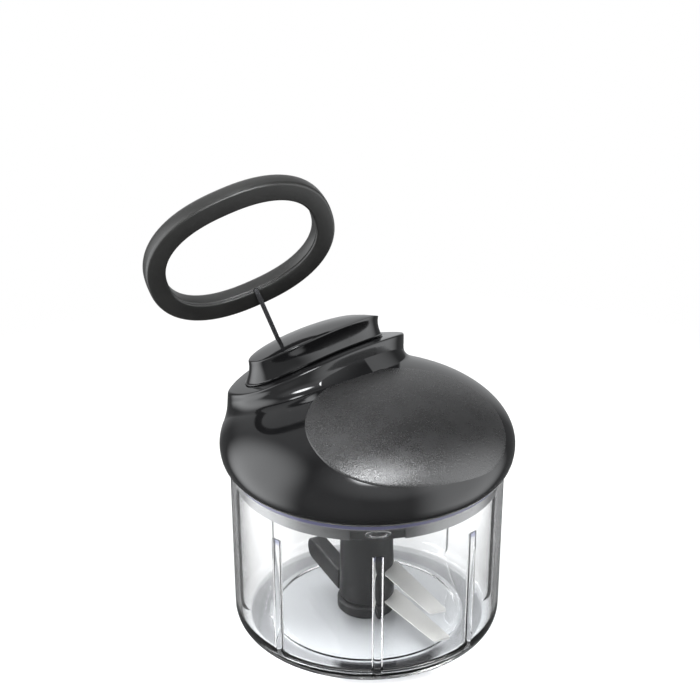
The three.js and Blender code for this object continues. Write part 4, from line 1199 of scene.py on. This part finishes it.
# World: white behind the object and through it, a grey room with soft lights for reflections
world = bpy.data.worlds.new("studio")
bpy.context.scene.world = world
world.use_nodes = True
world.node_tree.nodes.clear()
sky = Graph(world.node_tree)
direction = sky.node("TexCoord").outputs["Generated"]
tall = sky.node("VectorMath", {0: direction, 1: (1, 1, 0.5)}, operation="MULTIPLY").outputs["Vector"]
tall = sky.node("VectorMath", {0: tall}, operation="NORMALIZE").outputs["Vector"]


def glow(aim, inner, outer, strength, view=direction):
    """A soft light in the sky that only reflections see, with its two radii in degrees. In the tall view it
    is a high window."""
    aim = tuple(unit(aim))
    cosine = sky.node("VectorMath", {0: view, 1: aim}, operation="DOT_PRODUCT").outputs["Value"]
    edge, core = math.cos(math.radians(outer)), math.cos(math.radians(inner))
    ends = {"Value": cosine, "From Min": edge, "From Max": core, "To Min": 0.0, "To Max": strength}
    return sky.node("MapRange", ends, interpolation_type="SMOOTHSTEP").outputs["Result"]


ROOM_GREY = 0.16
gloss_level = ROOM_GREY
for light in (
    ((-1, 0, 0.05), 3, 43, 3.2, tall),
    ((0.985, -0.17, 0), 5, 50, 2.3, tall),
    ((-0.05, -1, 0.1), 20, 85, 0.3),
    ((-0.05, 0.97, 0.1), 12, 38, 0.5),
    ((0.06, -0.41, 0.91), 1, 14, 30.0),
    ((-0.35, 0.6, 0.72), 15, 45, 0.4),
    ((0.25, -0.5, 0.83), 8, 50, 0.8),
    ((-0.25, 0.3, 0.92), 2, 6, 9.0),
):
    gloss_level = sky.math("ADD", gloss_level, glow(*light))
paths = sky.node("LightPath")
bounced = sky.math("ADD", paths.outputs["Glossy Depth"], paths.outputs["Diffuse Depth"])
straight = sky.math("LESS_THAN", bounced, 0.5)
# Light thrown about inside the clear plastic comes out to most of the white again
deep = sky.math("GREATER_THAN", paths.outputs["Glossy Depth"], 1.5)
straight = sky.math("MAXIMUM", straight, sky.math("MULTIPLY", deep, 0.7))
seen = sky.math("MAXIMUM", paths.outputs["Is Camera Ray"], paths.outputs["Is Transmission Ray"])
seen = sky.math("MULTIPLY", seen, straight)
in_gloss = sky.math("MAXIMUM", paths.outputs["Is Glossy Ray"], sky.math("GREATER_THAN", bounced, 0.5))
plain = sky.node("Background", {"Color": WHITE, "Strength": 0.72})
glossy = sky.node("Background", {"Color": (0.97, 0.985, 1, 1), "Strength": gloss_level})
white = sky.node("Background", {"Color": WHITE, "Strength": 1.0})
in_gloss = sky.math("MULTIPLY", in_gloss, sky.math("SUBTRACT", 1.0, paths.outputs["Is Diffuse Ray"]))
first = sky.node("MixShader", {0: in_gloss, 1: plain.outputs[0], 2: glossy.outputs[0]})
second = sky.node("MixShader", {0: seen, 1: first.outputs[0], 2: white.outputs[0]})
sky.feed(sky.node("OutputWorld").inputs["Surface"], second.outputs[0])


def lamp(name, place, target, size, watts):
    data = bpy.data.lights.new(name, "AREA")
    data.shape = "RECTANGLE"
    data.size, data.size_y = size
    data.energy = watts
    made = bpy.data.objects.new(name, data)
    bpy.context.scene.collection.objects.link(made)
    made.location = place
    made.visible_glossy = False
    aim = np.asarray(target, float) - np.asarray(place, float)
    made.rotation_euler = Vector(aim).to_track_quat("-Z", "Y").to_euler()


lamp("key_lamp", (0.09, -0.55, 1.18), (0, 0, 0.1), (0.5, 0.36), 9.0)
lamp("left_lamp", (-0.95, -0.35, 0.55), (0, 0, 0.1), (0.5, 0.7), 7.0)
lamp("back_lamp", (-0.45, 0.85, 0.85), (0, 0, 0.12), (0.3, 0.5), 6.0)
